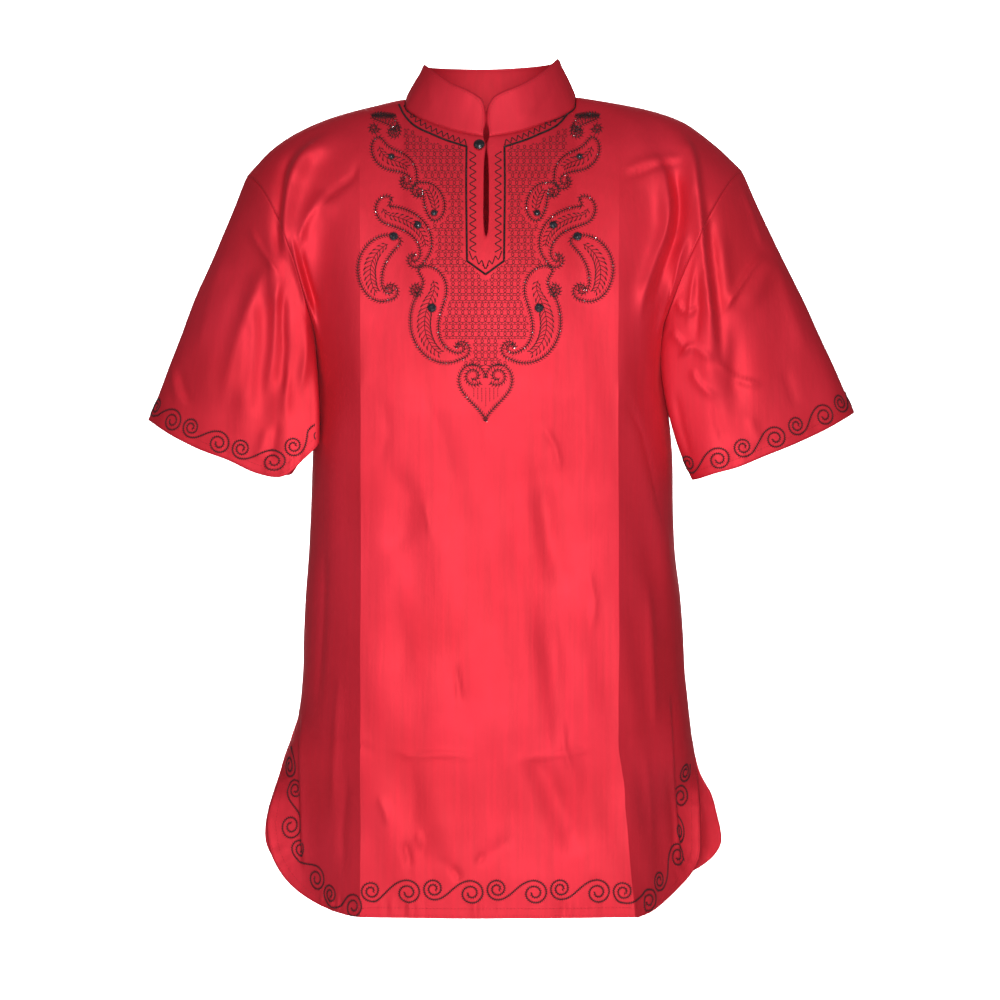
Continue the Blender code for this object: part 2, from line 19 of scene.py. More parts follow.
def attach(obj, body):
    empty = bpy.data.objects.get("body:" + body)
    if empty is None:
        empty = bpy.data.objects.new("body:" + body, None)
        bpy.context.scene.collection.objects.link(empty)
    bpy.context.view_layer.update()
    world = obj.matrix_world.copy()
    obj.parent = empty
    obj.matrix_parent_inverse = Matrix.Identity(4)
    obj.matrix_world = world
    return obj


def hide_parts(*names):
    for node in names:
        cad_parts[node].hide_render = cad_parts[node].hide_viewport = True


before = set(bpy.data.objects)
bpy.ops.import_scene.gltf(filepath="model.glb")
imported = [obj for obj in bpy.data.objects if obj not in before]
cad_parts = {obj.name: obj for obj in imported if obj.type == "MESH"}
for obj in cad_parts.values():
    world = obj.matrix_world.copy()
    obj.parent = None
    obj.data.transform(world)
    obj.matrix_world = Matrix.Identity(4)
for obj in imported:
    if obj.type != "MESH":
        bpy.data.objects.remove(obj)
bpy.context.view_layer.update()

bl_info = {
    "name": "Dashiki Shirt",
    "version": (1, 0, 0),
    "blender": (4, 5, 0),
    "location": "View3D > Sidebar > Dashiki Shirt",
    "description": "Sews a red dashiki shirt with a stand collar and black embroidery",
    "category": "Object",
}

BODY = "root"

# Driving sizes
MM = 0.001
CLOTH = 0.8
HEM_CLOTH = 1.5
COLLAR_CLOTH = 1.9
SEAM = 0.06
CLOSE_UP = 0.18
HEM_Z = -803.0
CORNER_Z = -745.0
CORNER_SHARE = 0.47
RIGHT_ROUND = 2.4
LEFT_ROUND = 1.9
ARMPIT_Z = -256.0
ARMPIT_DIP = 44.0
DIP_FROM_Z = -420.0
CENTRE_X = -0.5
FACET_TURN = 42.0
FLARE_FROM_Z = -645.0
FLARE_FULL_Z = -715.0
NECK_SHARE = 9 / 26
LAP_ANGLE = 38.0
RIGHT_LAP = 3.0
LEFT_LAP = 15.0
SEAM_Y = 0.2
EDGE_ROLL = 0.5
HEM_WIDTH = 11
CUFF_HEM_WIDTH = 10

# Unevenness of the cloth: height of the long waves and of the hems' pulls, and their seeds
PANEL_WAVE = 0.75
SLEEVE_WAVE = 0.8
COLLAR_WAVE = 0.25
HEM_PUCKER = 0.8
CUFF_PUCKER = 0.7
WAVE_SEEDS = {"front": 11, "back": 12, "right": 31, "left": 32, "collar": 51}
PUCKER_SEEDS = {"front": 21, "back": 22, "right": 41, "left": 42}

# Counts along and around each piece, before they are divided further
SIDE_STEPS = 13
FRONT_STEPS = 26
UPPER_STEPS = 15
SLIT_STEP = 8
VENT_STEP = 11
SLEEVE_STEPS = 13
COLLAR_STEPS = 6

# Sections beside the vents: z, right edge x, left edge x, edge y, right crease x,
# left crease x, crease y, middle y
FRONT_LOWER = (
    (-803, -199, 203, -58, -121, 142, -125, -135),
    (-788, -203, 206, -58, -121, 141, -125, -135),
    (-765, -208, 210, -56, -121, 139, -125, -135),
    (-740, -215, 211, -51, -121, 137, -125, -134),
    (-716, -217, 211, -43, -121, 135, -124, -134),
    (-698, -213, 211, -34, -121, 133, -124, -133),
    (-678, -207, 210, -20, -121, 132, -123, -133),
    (-658, -202, 208, -7, -121, 129, -123, -133),
)
BACK_LOWER = (
    (-803, -208, 226, 44, -119, 130, 124, 133),
    (-788, -214, 232, 43, -119, 130, 124, 133),
    (-765, -221, 237, 41, -119, 130, 124, 133),
    (-740, -225, 237, 37, -120, 129, 123, 133),
    (-718, -222, 232, 30, -120, 129, 123, 132),
    (-698, -216, 226, 20, -120, 128, 122, 132),
    (-678, -209, 215, 10, -121, 128, 122, 131),
    (-658, -203, 209, 4, -121, 127, 122, 131),
)

# Sections above the vents, where both panels share their sides and creases: z, right edge
# x, left edge x, crease y and middle y of the front, then of the back
SHARED_CREASES = (-121, 127)
SHARED_ROWS = (
    (-643, -197, 206, -123, -132, 121, 131),
    (-618, -189, 203, -122, -132, 121, 130),
    (-578, -184, 198, -121, -131, 120, 129),
    (-538, -183, 196, -119, -130, 118, 127),
    (-498, -181, 193, -118, -129, 117, 126),
    (-458, -178, 188, -117, -128, 115, 124),
    (-418, -176, 186, -117, -127, 115, 124),
    (-358, -174, 185, -118, -128, 116, 126),
    (-300, -171, 179, -119, -130, 118, 129),
    (-256, -170, 172, -120, -131, 119, 130),
)
FRONT_ROWS = FRONT_LOWER + tuple(
    (*row[:3], -SEAM_Y, *SHARED_CREASES, *row[3:5]) for row in SHARED_ROWS
)
BACK_ROWS = BACK_LOWER + tuple(
    (*row[:3], SEAM_Y, *SHARED_CREASES, *row[5:]) for row in SHARED_ROWS
)

# Heights of the rows below the armpit, as measured at the side
LEVELS = (
    -803, -801, -796, -788, -777, -763, -746, -727, -706, -684, -662, -643, -620,
    -594, -566, -536, -505, -474, -443, -412, -381, -352, -326, -302, -280, -256,
)

# Shoulder seams, which both panels share: share across, x, z
RIGHT_SHOULDER = (
    (-1.0, -241, -79), (-0.875, -212, -49.5), (-0.75, -184, -32.5), (-0.625, -156, -21),
    (-0.5, -127, -12.5), (-NECK_SHARE, -82, -2),
)
LEFT_SHOULDER = (
    (NECK_SHARE, 89.5, 0), (0.5, 132, -7), (0.625, 163, -13.5), (0.75, 194, -24),
    (0.875, 226, -46), (1.0, 256, -74),
)

# Neck edges between the shoulder seams: share across, x, y, z
FRONT_NECK = (
    (-8 / 26, -82, -14, -11),
    (-6 / 26, -72, -34, -23),
    (-4 / 26, -53, -50, -33),
    (-2 / 26, -28, -63, -42),
    (0.0, CENTRE_X, -70, -47),
    (2 / 26, 28, -64, -43),
    (4 / 26, 56, -51, -33),
    (6 / 26, 77, -34, -23),
    (8 / 26, 88.5, -14, -11),
)
BACK_NECK = (
    (-7 / 26, -74, 30, -5),
    (-4 / 26, -50, 52, -7),
    (0.0, 4, 66, -8),
    (4 / 26, 58, 52, -6),
    (7 / 26, 82, 30, -3),
)


def top_edge(neck, seam_y):
    """The whole top edge of a panel: share across, x, y, z."""
    right, left = (
        tuple((share, x, seam_y, z) for share, x, z in shoulder)
        for shoulder in (RIGHT_SHOULDER, LEFT_SHOULDER)
    )
    return right + neck + left


FRONT_TOP = top_edge(FRONT_NECK, -SEAM_Y)
BACK_TOP = top_edge(BACK_NECK, SEAM_Y)

# How the cloth leaves the top edge: share across, then the handle's x, y, z
FRONT_LEAVE = (
    (-1.0, 36, -103, -11),
    (-0.5, 0, -75, -8),
    (-NECK_SHARE, 0, -60, -14),
    (0.0, 0, -32, -62),
    (NECK_SHARE, 0, -60, -14),
    (0.5, 0, -75, -8),
    (1.0, -32, -103, -16),
)
BACK_LEAVE = (
    (-1.0, 36, 99, -9),
    (-0.5, 0, 78, -6),
    (-NECK_SHARE, 0, 66, -10),
    (0.0, 0, 40, -42),
    (NECK_SHARE, 0, 66, -10),
    (0.5, 0, 78, -6),
    (1.0, -32, 99, -14),
)

# How it leaves the row level with the armpit, with the same columns
FRONT_RISE = (
    (-1.0, 8, -99, 11),
    (-0.8, 2, -30, 60),
    (-0.5, 0, -2, 112),
    (0.0, 0, -1, 100),
    (0.5, 0, -2, 112),
    (0.8, -6, -30, 60),
    (1.0, -12, -99, 8),
)
BACK_RISE = (
    (-1.0, 8, 95, 11),
    (-0.8, 2, 28, 60),
    (-0.5, 0, 2, 116),
    (0.0, 0, 2, 120),
    (0.5, 0, 2, 116),
    (0.8, -6, 28, 60),
    (1.0, -12, 95, 8),
)

# Half width of the slit by height
SLIT = (
    (-151, 0), (-146, 1.2), (-138, 2.2), (-108, 2.7), (-80, 2.2), (-68, 1.5),
    (-61, 0.6), (-56, 0.5), (-51, 2.2), (-47, 3.1),
)

# Half gap between the collar's ends by share of its height
COLLAR_GAP = ((0, 3.1), (0.2, 2.2), (0.4, 0.5), (1, 0.5))

# Top edge of the collar, from its left end round the back: share, x, y, z
COLLAR_TOP = (
    (0.0, 0.2, -61, -18),
    (0.02, 5, -61, -9.5),
    (0.05, 13, -60, -3.6),
    (0.1, 27.7, -57, 2.6),
    (0.15, 42.5, -49, 10.7),
    (0.2, 56, -37, 20.7),
    (0.27, 70.5, -9, 37),
    (0.34, 70, 20, 37.5),
    (0.42, 47, 46, 37),
    (0.5, 4, 57, 36),
    (0.58, -38, 46, 35),
    (0.66, -61, 20, 33),
    (0.73, -62.5, -9, 31.5),
    (0.8, -51, -36, 19.5),
    (0.85, -37, -49, 8.5),
    (0.9, -22, -57, 1),
    (0.95, -10.5, -60, -5.5),
    (0.98, -4.5, -61, -10.5),
    (1.0, -1.2, -61, -18),
)

# Cuffs: angle from the underarm by way of the front, x, y, z
RIGHT_CUFF = (
    (0, -180, 0, -343),
    (20, -175, -38, -345),
    (38, -163, -67, -347),
    (55, -178, -72, -363),
    (75, -199, -72, -380),
    (95, -225, -66, -377),
    (115, -254, -62, -364),
    (135, -286, -52, -352),
    (152, -314, -38, -338),
    (166, -332, -20, -327),
    (180, -340, 0, -322),
    (194, -335, 22, -325),
    (208, -319, 40, -336),
    (225, -292, 52, -350),
    (245, -260, 56, -362),
    (265, -229, 54, -369),
    (285, -203, 48, -378),
    (305, -193, 38, -371),
    (325, -188, 26, -358),
    (343, -184, 14, -349),
)
LEFT_CUFF = (
    (0, 210, -4, -371),
    (18, 205, -24, -377),
    (36, 202, -40, -383),
    (54, 209, -54, -382),
    (74, 224, -64, -377),
    (94, 246, -66, -371),
    (114, 273, -62, -360),
    (134, 303, -52, -348),
    (152, 334, -38, -334),
    (166, 358, -20, -321),
    (180, 368, 0, -315),
    (194, 362, 20, -318),
    (208, 342, 38, -331),
    (226, 313, 50, -344),
    (246, 283, 55, -355),
    (266, 255, 53, -361),
    (288, 232, 44, -371),
    (310, 218, 32, -373),
    (334, 213, 14, -371),
)

# Folds of the front: half width, height, then x and z along each
FRONT_FOLDS = (
    (10, 5, ((164, -83), (175, -115), (178, -138), (167, -172), (155, -201), (149, -260))),
    (8, 4, ((186, -150), (172, -190), (160, -225))),
    (8, 4, ((193, -43), (200, -74), (203, -112))),
    (9, -4, ((181, -77), (187, -118), (188, -150))),
    (10, 5, ((-140, -108), (-165, -126), (-173, -150), (-174, -185))),
    (9, 5, ((-150, -49), (-177, -68), (-190, -96))),
    (14, -4, ((50, -385), (58, -441), (80, -499))),
    (14, -4, ((58, -510), (67, -593), (76, -656))),
    (16, -5, ((40, -640), (66, -691), (94, -745))),
    (12, -3, ((-97, -366), (-75, -401), (-80, -433), (-100, -459))),
    (10, 4, ((140, -300), (156, -350), (172, -440), (178, -520))),
    (12, 3, ((-140, -300), (-150, -380), (-152, -470))),
)

# Folds of the back, with the same columns
BACK_FOLDS = (
    (12, 5, ((-165, -75), (-176, -120), (-172, -170), (-160, -230))),
    (12, 5, ((178, -70), (186, -118), (180, -170), (166, -230))),
    (16, -4, ((-60, -150), (-48, -240), (-52, -340))),
    (16, -4, ((62, -170), (54, -260), (60, -350))),
    (16, -4, ((-30, -430), (-42, -520), (-36, -610))),
    (16, 4, ((70, -480), (78, -580), (70, -690))),
)

# Folds of the sleeves' fronts, with the same columns
RIGHT_FOLDS = (
    (9, 5, ((-206, -128), (-205, -170), (-206, -225))),
    (11, 5, ((-226, -190), (-228, -235), (-234, -290), (-238, -330))),
    (11, -5, ((-216, -200), (-216, -250), (-222, -310))),
    (16, 5, ((-247, -180), (-256, -227), (-268, -285), (-276, -322))),
)
LEFT_FOLDS = (
    (9, 5, ((222, -120), (228, -170), (236, -230), (238, -285))),
    (9, -5, ((232, -200), (241, -250), (244, -310))),
    (10, 4, ((214, -190), (214, -240), (222, -300))),
    (12, 4, ((284, -159), (262, -197), (250, -218))),
)


def along(rows, at, corners=False):
    """Values of a table at the places given, on smooth curves through its rows.

    With corners, a column that turns back or stands still does so at its row.
    """
    table = np.asarray(rows, float)
    place = np.asarray(at, float)
    x = table[:, 0]
    y = table[:, 1:]
    step = np.diff(x)[:, None]
    rise = np.diff(y, axis=0) / step
    slope = np.empty_like(y)
    slope[0] = rise[0]
    slope[-1] = rise[-1]
    slope[1:-1] = (step[1:] * rise[:-1] + step[:-1] * rise[1:]) / (step[1:] + step[:-1])
    if corners:
        same = rise[:-1] * rise[1:]
        total = rise[:-1] + rise[1:]
        slope[1:-1] = np.where(same > 0, 2 * same / np.where(same > 0, total, 1), 0)
    k = np.clip(np.searchsorted(x, place, side="right") - 1, 0, len(x) - 2)
    h = step[k]
    t = (place[..., None] - x[k][..., None]) / h
    near = (1 + 2 * t) * (1 - t) ** 2 * y[k] + t * (1 - t) ** 2 * h * slope[k]
    far = t * t * (3 - 2 * t) * y[k + 1] + t * t * (t - 1) * h * slope[k + 1]
    return near + far


def eased(value, low, high):
    """0 below low, 1 above high, with a smooth rise between."""
    t = np.clip((np.asarray(value, float) - low) / (high - low), 0, 1)
    return t * t * (3 - 2 * t)


def bezier(a, b, c, d, t):
    """Points at shares t of a curve from a to d with handles b and c."""
    t = np.asarray(t, float)[..., None]
    return (1 - t) ** 3 * a + 3 * t * (1 - t) ** 2 * b + 3 * t * t * (1 - t) * c + t**3 * d


def shell_point(share, z, rows, facing):
    """Points of the body below the armpits. share is -1 and 1 at the edges, 0 in the middle."""
    size = along(rows, z)
    columns = np.moveaxis(size, -1, 0)
    right_x, left_x, edge_y, right_crease, left_crease, crease_y, middle_y = columns
    flat = np.clip(share, -0.5, 0.5) * 2
    spread = (left_crease - right_crease) / 2
    shift = (left_crease + right_crease) / 2 - CENTRE_X
    x = CENTRE_X + spread * flat + shift * flat**2
    y = middle_y + (crease_y - middle_y) * flat**2
    side = np.sign(share)
    q = np.clip(np.abs(share) * 2 - 1, 0, 1)
    start = np.stack([np.where(side < 0, right_crease, left_crease), crease_y], -1)
    end = np.stack([np.where(side < 0, right_x, left_x), edge_y], -1)
    reach = np.linalg.norm(end - start, axis=-1)
    turn = math.radians(FACET_TURN)
    first = np.stack([side * math.cos(turn) * reach / 3, -facing * math.sin(turn) * reach / 3], -1)
    # Level with the vents the edge turns outwards instead of round to the other panel
    flare = 1 - eased(z, FLARE_FULL_Z, FLARE_FROM_Z)
    last = reach[..., None] * np.stack(
        [-side * 0.3 * flare + 0 * reach, facing * (0.4 - 0.36 * flare) + 0 * reach], -1
    )
    curve = bezier(start, start + first, end + last, end, q)
    outside = np.abs(share) > 0.5
    x = np.where(outside, curve[..., 0], x)
    y = np.where(outside, curve[..., 1], y)
    return np.stack([x, y, z + 0 * x], -1)


def lower_point(share, level, rows, facing):
    """Points on the row that meets the side at this level, with the hem's round corners."""
    drop = np.clip((CORNER_Z - level) / (CORNER_Z - HEM_Z), 0, 1)
    power = np.where(np.asarray(share) < 0, RIGHT_ROUND, LEFT_ROUND)
    reach = 0.5 - CORNER_SHARE * (1 - (1 - drop**power) ** (1 / power))
    beyond = np.clip(np.abs(share) - 0.5, 0, 0.5) * 2
    kept = np.sign(share) * (np.minimum(np.abs(share), 0.5) + beyond * reach)
    dip = ARMPIT_DIP * eased(level, DIP_FROM_Z, ARMPIT_Z) * (1 - eased(np.abs(share), 0.7, 1.0))
    return shell_point(kept, level - dip, rows, facing)


def upper_point(share, rise, rows, top, leave, rise_rows, facing):
    """Points between the armpits and the top edge, rise going from 0 to 1."""
    low = lower_point(share, ARMPIT_Z + 0 * share, rows, facing)
    high = along(top, share, corners=True)
    return bezier(low, low + along(rise_rows, share), high + along(leave, share), high, rise)


def panel_point(share, height, front):
    """Height is 0 at the hem, 1 level with the armpit and 2 at the top edge."""
    share, height = np.broadcast_arrays(np.asarray(share, float), np.asarray(height, float))
    rows, top = (FRONT_ROWS, FRONT_TOP) if front else (BACK_ROWS, BACK_TOP)
    leave, rise = (FRONT_LEAVE, FRONT_RISE) if front else (BACK_LEAVE, BACK_RISE)
    facing = -1 if front else 1
    steps = np.arange(len(LEVELS)) / (len(LEVELS) - 1)
    level = along(np.stack([steps, LEVELS], -1), np.minimum(height, 1))[..., 0]
    low = lower_point(share, level, rows, facing)
    high = upper_point(share, np.clip(height - 1, 0, 1), rows, top, leave, rise, facing)
    return np.where((height > 1)[..., None], high, low)


def distance_to(points, path):
    """Distance of each x, z to a path, and how far along the path its nearest place is."""
    best = np.full(len(points), 1e9)
    where = np.zeros(len(points))
    path = np.asarray(path, float)
    lengths = np.linalg.norm(np.diff(path, axis=0), axis=1)
    total = lengths.sum()
    done = 0.0
    for a, b, length in zip(path[:-1], path[1:], lengths):
        t = np.clip((points - a) @ (b - a) / length**2, 0, 1)
        d = np.linalg.norm(points - a - t[:, None] * (b - a), axis=1)
        nearer = d < best
        best = np.where(nearer, d, best)
        where = np.where(nearer, (done + t * length) / total, where)
        done += length
    return best, where


def vertex_normals(points, faces):
    """Unit normals from the faces around each vertex."""
    total = np.zeros_like(points)
    quads = np.asarray(faces)
    a, b, c, d = (points[quads[:, k]] for k in range(4))
    face = np.cross(c - a, d - b)
    for k in range(4):
        np.add.at(total, quads[:, k], face)
    return total / np.linalg.norm(total, axis=1)[:, None]


# How many times each step of the solids is divided
FRONT_ACROSS = 4
BACK_ACROSS = 2
LOWER_ROWS = 6
UPPER_ROWS = 5
SLEEVE_ROWS = 8
COLLAR_ROWS = 3

# Rows of a panel: below the armpits, above them, at the slit's foot, at the vents' tops and
# where the front's pressed creases end
LOW_ROWS = (len(LEVELS) - 1) * LOWER_ROWS
HIGH_ROWS = UPPER_STEPS * UPPER_ROWS
SLIT_ROW = LOW_ROWS + SLIT_STEP * UPPER_ROWS
VENT_ROW = VENT_STEP * LOWER_ROWS
PRESSED_ROW = LOW_ROWS + int(HIGH_ROWS * 0.85)
SMOOTHINGS = 7
FOLD_SHARE = 0.7
YOKE_CALM = 0.85
PRESSED_WIDTH = 17
PRESSED_HEIGHT = 1.9

# Smaller creases of the front: half width, height, sharpness, then x and z along each
FRONT_CREASES = (
    (4, 1.9, 0.8, ((-104, -686), (-96, -702), (-94, -716))),
    (4, -1.9, 0.8, ((-79, -728), (-74, -746), (-72, -756))),
    (4, 1.9, 0.8, ((-66, -720), (-62, -736))),
    (4, -1.9, 0.8, ((-34, -752), (-24, -768))),
    (4, 2.1, 0.8, ((72, -604), (74, -640), (84, -668))),
    (4, -1.9, 0.8, ((-10, -752), (-2, -740))),
    (4, 1.9, 0.8, ((-100, -640), (-70, -648), (-40, -646), (0, -650))),
    (4, 1.7, 0.8, ((20, -652), (60, -648), (110, -640))),
    (4, 1.9, 0.8, ((52, -328), (66, -352), (72, -380))),
    (4, 1.7, 0.8, ((-60, -402), (-52, -440))),
    (4, 1.7, 0.8, ((96, -466), (104, -500), (102, -530))),
    (4, -1.7, 0.8, ((-30, -560), (-24, -600))),
    (4, -2.5, 0.7, ((132, -89), (161, -78), (178, -72), (196, -73))),
    (4, -2.5, 0.6, ((-122, -66), (-131, -89), (-154, -106), (-176, -122))),
    (3, -1.3, 0.5, ((-196, -622), (-169, -632), (-120, -639), (-96, -650))),
    (3, -1.3, 0.5, ((128, -630), (165, -624), (200, -617))),
    (2.5, 0.5, 0.6, ((-1, -303), (-1, -365))),
    (8, -1, 0.3, ((24, -398), (32, -428), (30, -470))),
    (9, -1.2, 0.3, ((36, -344), (50, -372), (57, -420), (64, -470))),
    (10, -1.1, 0.3, ((-60, -300), (-40, -345), (-28, -400))),
    (9, 1, 0.3, ((66, -500), (76, -560), (74, -620))),
    (9, -1.1, 0.3, ((88, -600), (96, -660), (90, -716), (72, -742))),
    (10, -1.1, 0.3, ((34, -640), (58, -668), (74, -708))),
    (8, -0.8, 0.3, ((-75, -640), (-68, -690), (-76, -730))),
    (5, -0.75, 0.4, ((-78, -726), (-75, -756), (-70, -772))),
    (5, -0.65, 0.4, ((-60, -716), (-61, -752))),
    (6, -0.8, 0.4, ((-50, -744), (-30, -757), (-20, -768))),
    (6, -0.75, 0.4, ((30, -722), (8, -738), (-12, -746))),
    (5, -0.65, 0.4, ((98, -760), (110, -772), (118, -786))),
    (7, -0.8, 0.4, ((-100, -300), (-94, -340), (-106, -372))),
    (7, 0.8, 0.4, ((84, -310), (98, -350), (92, -396))),
    (10, -1, 0.2, ((-92, -470), (-80, -540), (-88, -610))),
    (6, -2.5, 0.5, ((129, -294), (152, -339), (168, -400), (176, -441))),
    (5, 2.2, 0.4, ((156, -470), (160, -560), (164, -640))),
    (5, -2, 0.4, ((-158, -430), (-160, -520), (-166, -620))),
    (5, 1.8, 0.4, ((-142, -560), (-146, -640), (-150, -720))),
    (5, -1.8, 0.4, ((-134, -660), (-140, -720), (-138, -770))),
    (5, 1.8, 0.4, ((152, -640), (158, -700), (160, -760))),
    (5, -1.8, 0.4, ((176, -660), (182, -712), (182, -762))),
)

# Laps by the front's vents: height, reach, then x and z down each
FRONT_LAPS = (
    (3.6, 13, ((-184, -610), (-184, -680), (-183, -730), (-180, -768))),
    (3.6, 13, ((180, -590), (183, -660), (188, -730), (190, -766))),
)

# Folds that run over the armhole seams: width left and right of the way each runs, height,
# then x and z along it. Front and sleeves take the same ones, so they stay together.
SHARED_FOLDS = (
    (11, 5, 9.5, ((-149, -42), (-164, -47), (-181, -62), (-191, -81), (-196, -110),
     (-197, -145), (-193, -177))),
    (3.5, 7, -7, ((-184, -54), (-198, -76), (-202, -109), (-204, -145), (-202, -175))),
    (5, 9, 7, ((-151, -103), (-168, -117), (-179, -138), (-184, -161))),
    (3, 4, 8, ((-191, -142), (-183, -179), (-172, -216), (-161, -253))),
    (3, 5, -5, ((-182, -159), (-173, -192), (-162, -224))),
    (15, 9, 7, ((-213, -167), (-229, -206), (-246, -252), (-260, -321))),
    (7, 8, 5.5, ((-201, -181), (-206, -220), (-209, -259), (-218, -310))),
    (4, 7, -5, ((-198, -188), (-199, -228), (-198, -268), (-202, -307))),
    (6, 6, 4, ((-181, -188), (-176, -226), (-176, -263), (-183, -304))),
    (2.5, 5, 3.4, ((-235, -132), (-220, -158), (-202, -184))),
    (2.5, 4, 2.8, ((-313, -276), (-306, -294), (-295, -313))),
    (4, 10, 9, ((159, -58), (173, -81), (178, -110), (175, -140), (164, -171), (152, -208),
     (147, -239))),
    (7, 3.5, -6.5, ((181, -72), (188, -107), (185, -142), (172, -179), (160, -220))),
    (5, 5, 6.5, ((197, -140), (188, -167), (182, -194), (171, -229), (164, -254))),
    (4, 9, 9, ((190, -34), (202, -60), (207, -101), (210, -146), (214, -185), (219, -229),
     (223, -272))),
    (9, 4, -6, ((215, -101), (219, -146), (224, -187), (228, -231), (231, -282))),
    (4, 6, 2.2, ((132, -83), (150, -74), (165, -69), (197, -66))),
    (2.5, 3.5, 3.2, ((184, -207), (194, -220), (208, -215))),
    (2.5, 4, 3.4, ((180, -236), (190, -249), (201, -262))),
    (2.5, 4, 3.4, ((188, -265), (198, -252), (208, -257), (223, -268))),
    (2.5, 4, 3.2, ((199, -273), (208, -290), (225, -304))),
    (2.5, 4, 3, ((277, -155), (257, -181), (230, -222))),
    (2.5, 4, 3, ((222, -266), (245, -284), (272, -291))),
)

# Smaller creases of the back, with the same columns
BACK_CREASES = (
    (7, 3, 0.5, ((-176, -84), (-190, -124), (-186, -176))),
    (7, 3, 0.5, ((188, -78), (197, -120), (190, -178))),
    (8, -2.4, 0.4, ((-120, -60), (-86, -82), (-40, -90), (0, -88))),
    (8, -2.2, 0.4, ((120, -58), (84, -80), (44, -90))),
    (7, 2.2, 0.4, ((-70, -120), (-66, -190), (-74, -260))),
    (7, 2.2, 0.4, ((74, -130), (80, -200), (72, -290))),
    (9, -2.2, 0.3, ((-14, -150), (-4, -240), (-12, -330))),
    (9, -2.2, 0.3, ((-90, -360), (-70, -430), (-78, -520))),
    (9, 2.0, 0.3, ((30, -380), (22, -470), (34, -560))),
    (8, -2.0, 0.3, ((-40, -620), (-52, -690), (-46, -752))),
    (8, -2.0, 0.3, ((90, -560), (84, -640), (94, -730))),
    (7, 1.8, 0.3, ((10, -660), (2, -730), (8, -780))),
    (3, -1.2, 0.5, ((-205, -628), (-120, -634), (0, -637), (120, -634), (205, -626))),
    (6, -2.4, 0.5, ((-140, -300), (-156, -360), (-160, -450))),
    (6, -2.4, 0.5, ((142, -300), (158, -356), (164, -450))),
    (5, 2.0, 0.4, ((-168, -500), (-166, -600))),
    (6, 3.5, 0.5, ((206, -690), (216, -728), (214, -770))),
    (6, -3.0, 0.5, ((222, -700), (226, -732), (222, -756))),
    (6, 3.0, 0.5, ((-206, -700), (-212, -740), (-204, -776))),
)

# Smaller creases of each sleeve, with the same columns; hidden sides have like ones
RIGHT_CREASES = (
    (6, -2.4, 0.5, ((-233, -214), (-234, -262), (-240, -310))),
    (5, -2.0, 0.5, ((-307, -270), (-301, -290), (-294, -312))),
    (4, 1.8, 0.5, ((-315, -262), (-310, -290), (-304, -316))),
    (9, 2.2, 0.3, ((-258, -150), (-272, -210), (-288, -270))),
    (5, 2.4, 0.6, ((-196, -250), (-195, -290), (-197, -330))),
    (5, 2.0, 0.5, ((-214, -330), (-220, -352), (-226, -366))),
    (4, -1.8, 0.5, ((-204, -322), (-208, -350), (-212, -370))),
)
LEFT_CREASES = (
    (4, 3.0, 0.8, ((204, -150), (200, -196), (196, -240))),
    (4, -2.4, 0.8, ((206, -176), (206, -216), (204, -256))),
    (4, 1.8, 0.7, ((249, -85), (262, -118), (275, -158))),
    (5, -2.4, 0.6, ((183, -292), (190, -330), (202, -370))),
    (5, -1.8, 0.5, ((222, -300), (226, -330), (236, -352))),
    (9, 2.2, 0.3, ((282, -150), (300, -214), (318, -268))),
    (5, -1.8, 0.5, ((292, -270), (300, -296), (306, -316))),
    (5, 1.6, 0.5, ((256, -318), (262, -336), (270, -350))),
)

# Creases of the collar: half width, height, sharpness, then x and z along each
COLLAR_CREASES = (
    (4, 0.8, 0.4, ((-52, -22), (-56, -2), (-58, 14))),
    (4, -0.8, 0.4, ((46, -26), (60, -8), (70, 18))),
    (5, 0.9, 0.4, ((30, -34), (44, -22), (50, -2))),
)


def creased(points, normals, free, creases):
    """The points moved along their normals by the creases. Sharpness 1 is a knife edge."""
    lift = np.zeros(len(points))
    for half_width, height, sharpness, path in creases:
        d, t = distance_to(points[:, [0, 2]], path)
        ends = eased(t, 0, 0.3) * (1 - eased(t, 0.7, 1))
        soft = np.exp(-((d / half_width) ** 2))
        sharp = np.exp(-1.6 * d / half_width)
        lift += height * (soft + (sharp - soft) * sharpness) * ends
    return points + normals * (lift * free)[:, None]


def draped(points):
    """The points moved to the front by the folds that front and sleeves share."""
    lift = np.zeros(len(points))
    flat = points[:, [0, 2]]
    for near, far, height, path in SHARED_FOLDS:
        line = curve_through(path, 5.0)
        reach = 3 * max(near, far)
        low, high = line.min(axis=0) - reach, line.max(axis=0) + reach
        inside = np.flatnonzero(((flat > low) & (flat < high)).all(axis=1))
        spots = flat[inside]
        best, side, share = np.full(len(spots), 1e9), np.zeros(len(spots)), np.zeros(len(spots))
        for k, (a, b) in enumerate(zip(line, line[1:])):
            way = b - a
            t = np.clip((spots - a) @ way / (way @ way), 0, 1)
            off = spots - a - t[:, None] * way
            d = np.linalg.norm(off, axis=1)
            nearer = d < best
            best = np.where(nearer, d, best)
            side = np.where(nearer, way[0] * off[:, 1] - way[1] * off[:, 0], side)
            share = np.where(nearer, (k + t) / (len(line) - 1), share)
        width = np.where(side > 0, near, far)
        round_top = np.exp(-((best / width) ** 2))
        sharp_top = np.exp(-1.5 * best / width)
        ends = eased(share, 0, 0.22) * (1 - eased(share, 0.74, 1))
        lift[inside] += height * (0.6 * round_top + 0.4 * sharp_top) * ends
    lift *= eased(-points[:, 1], 4, 26)
    moved = points.copy()
    moved[:, 1] -= lift
    return moved


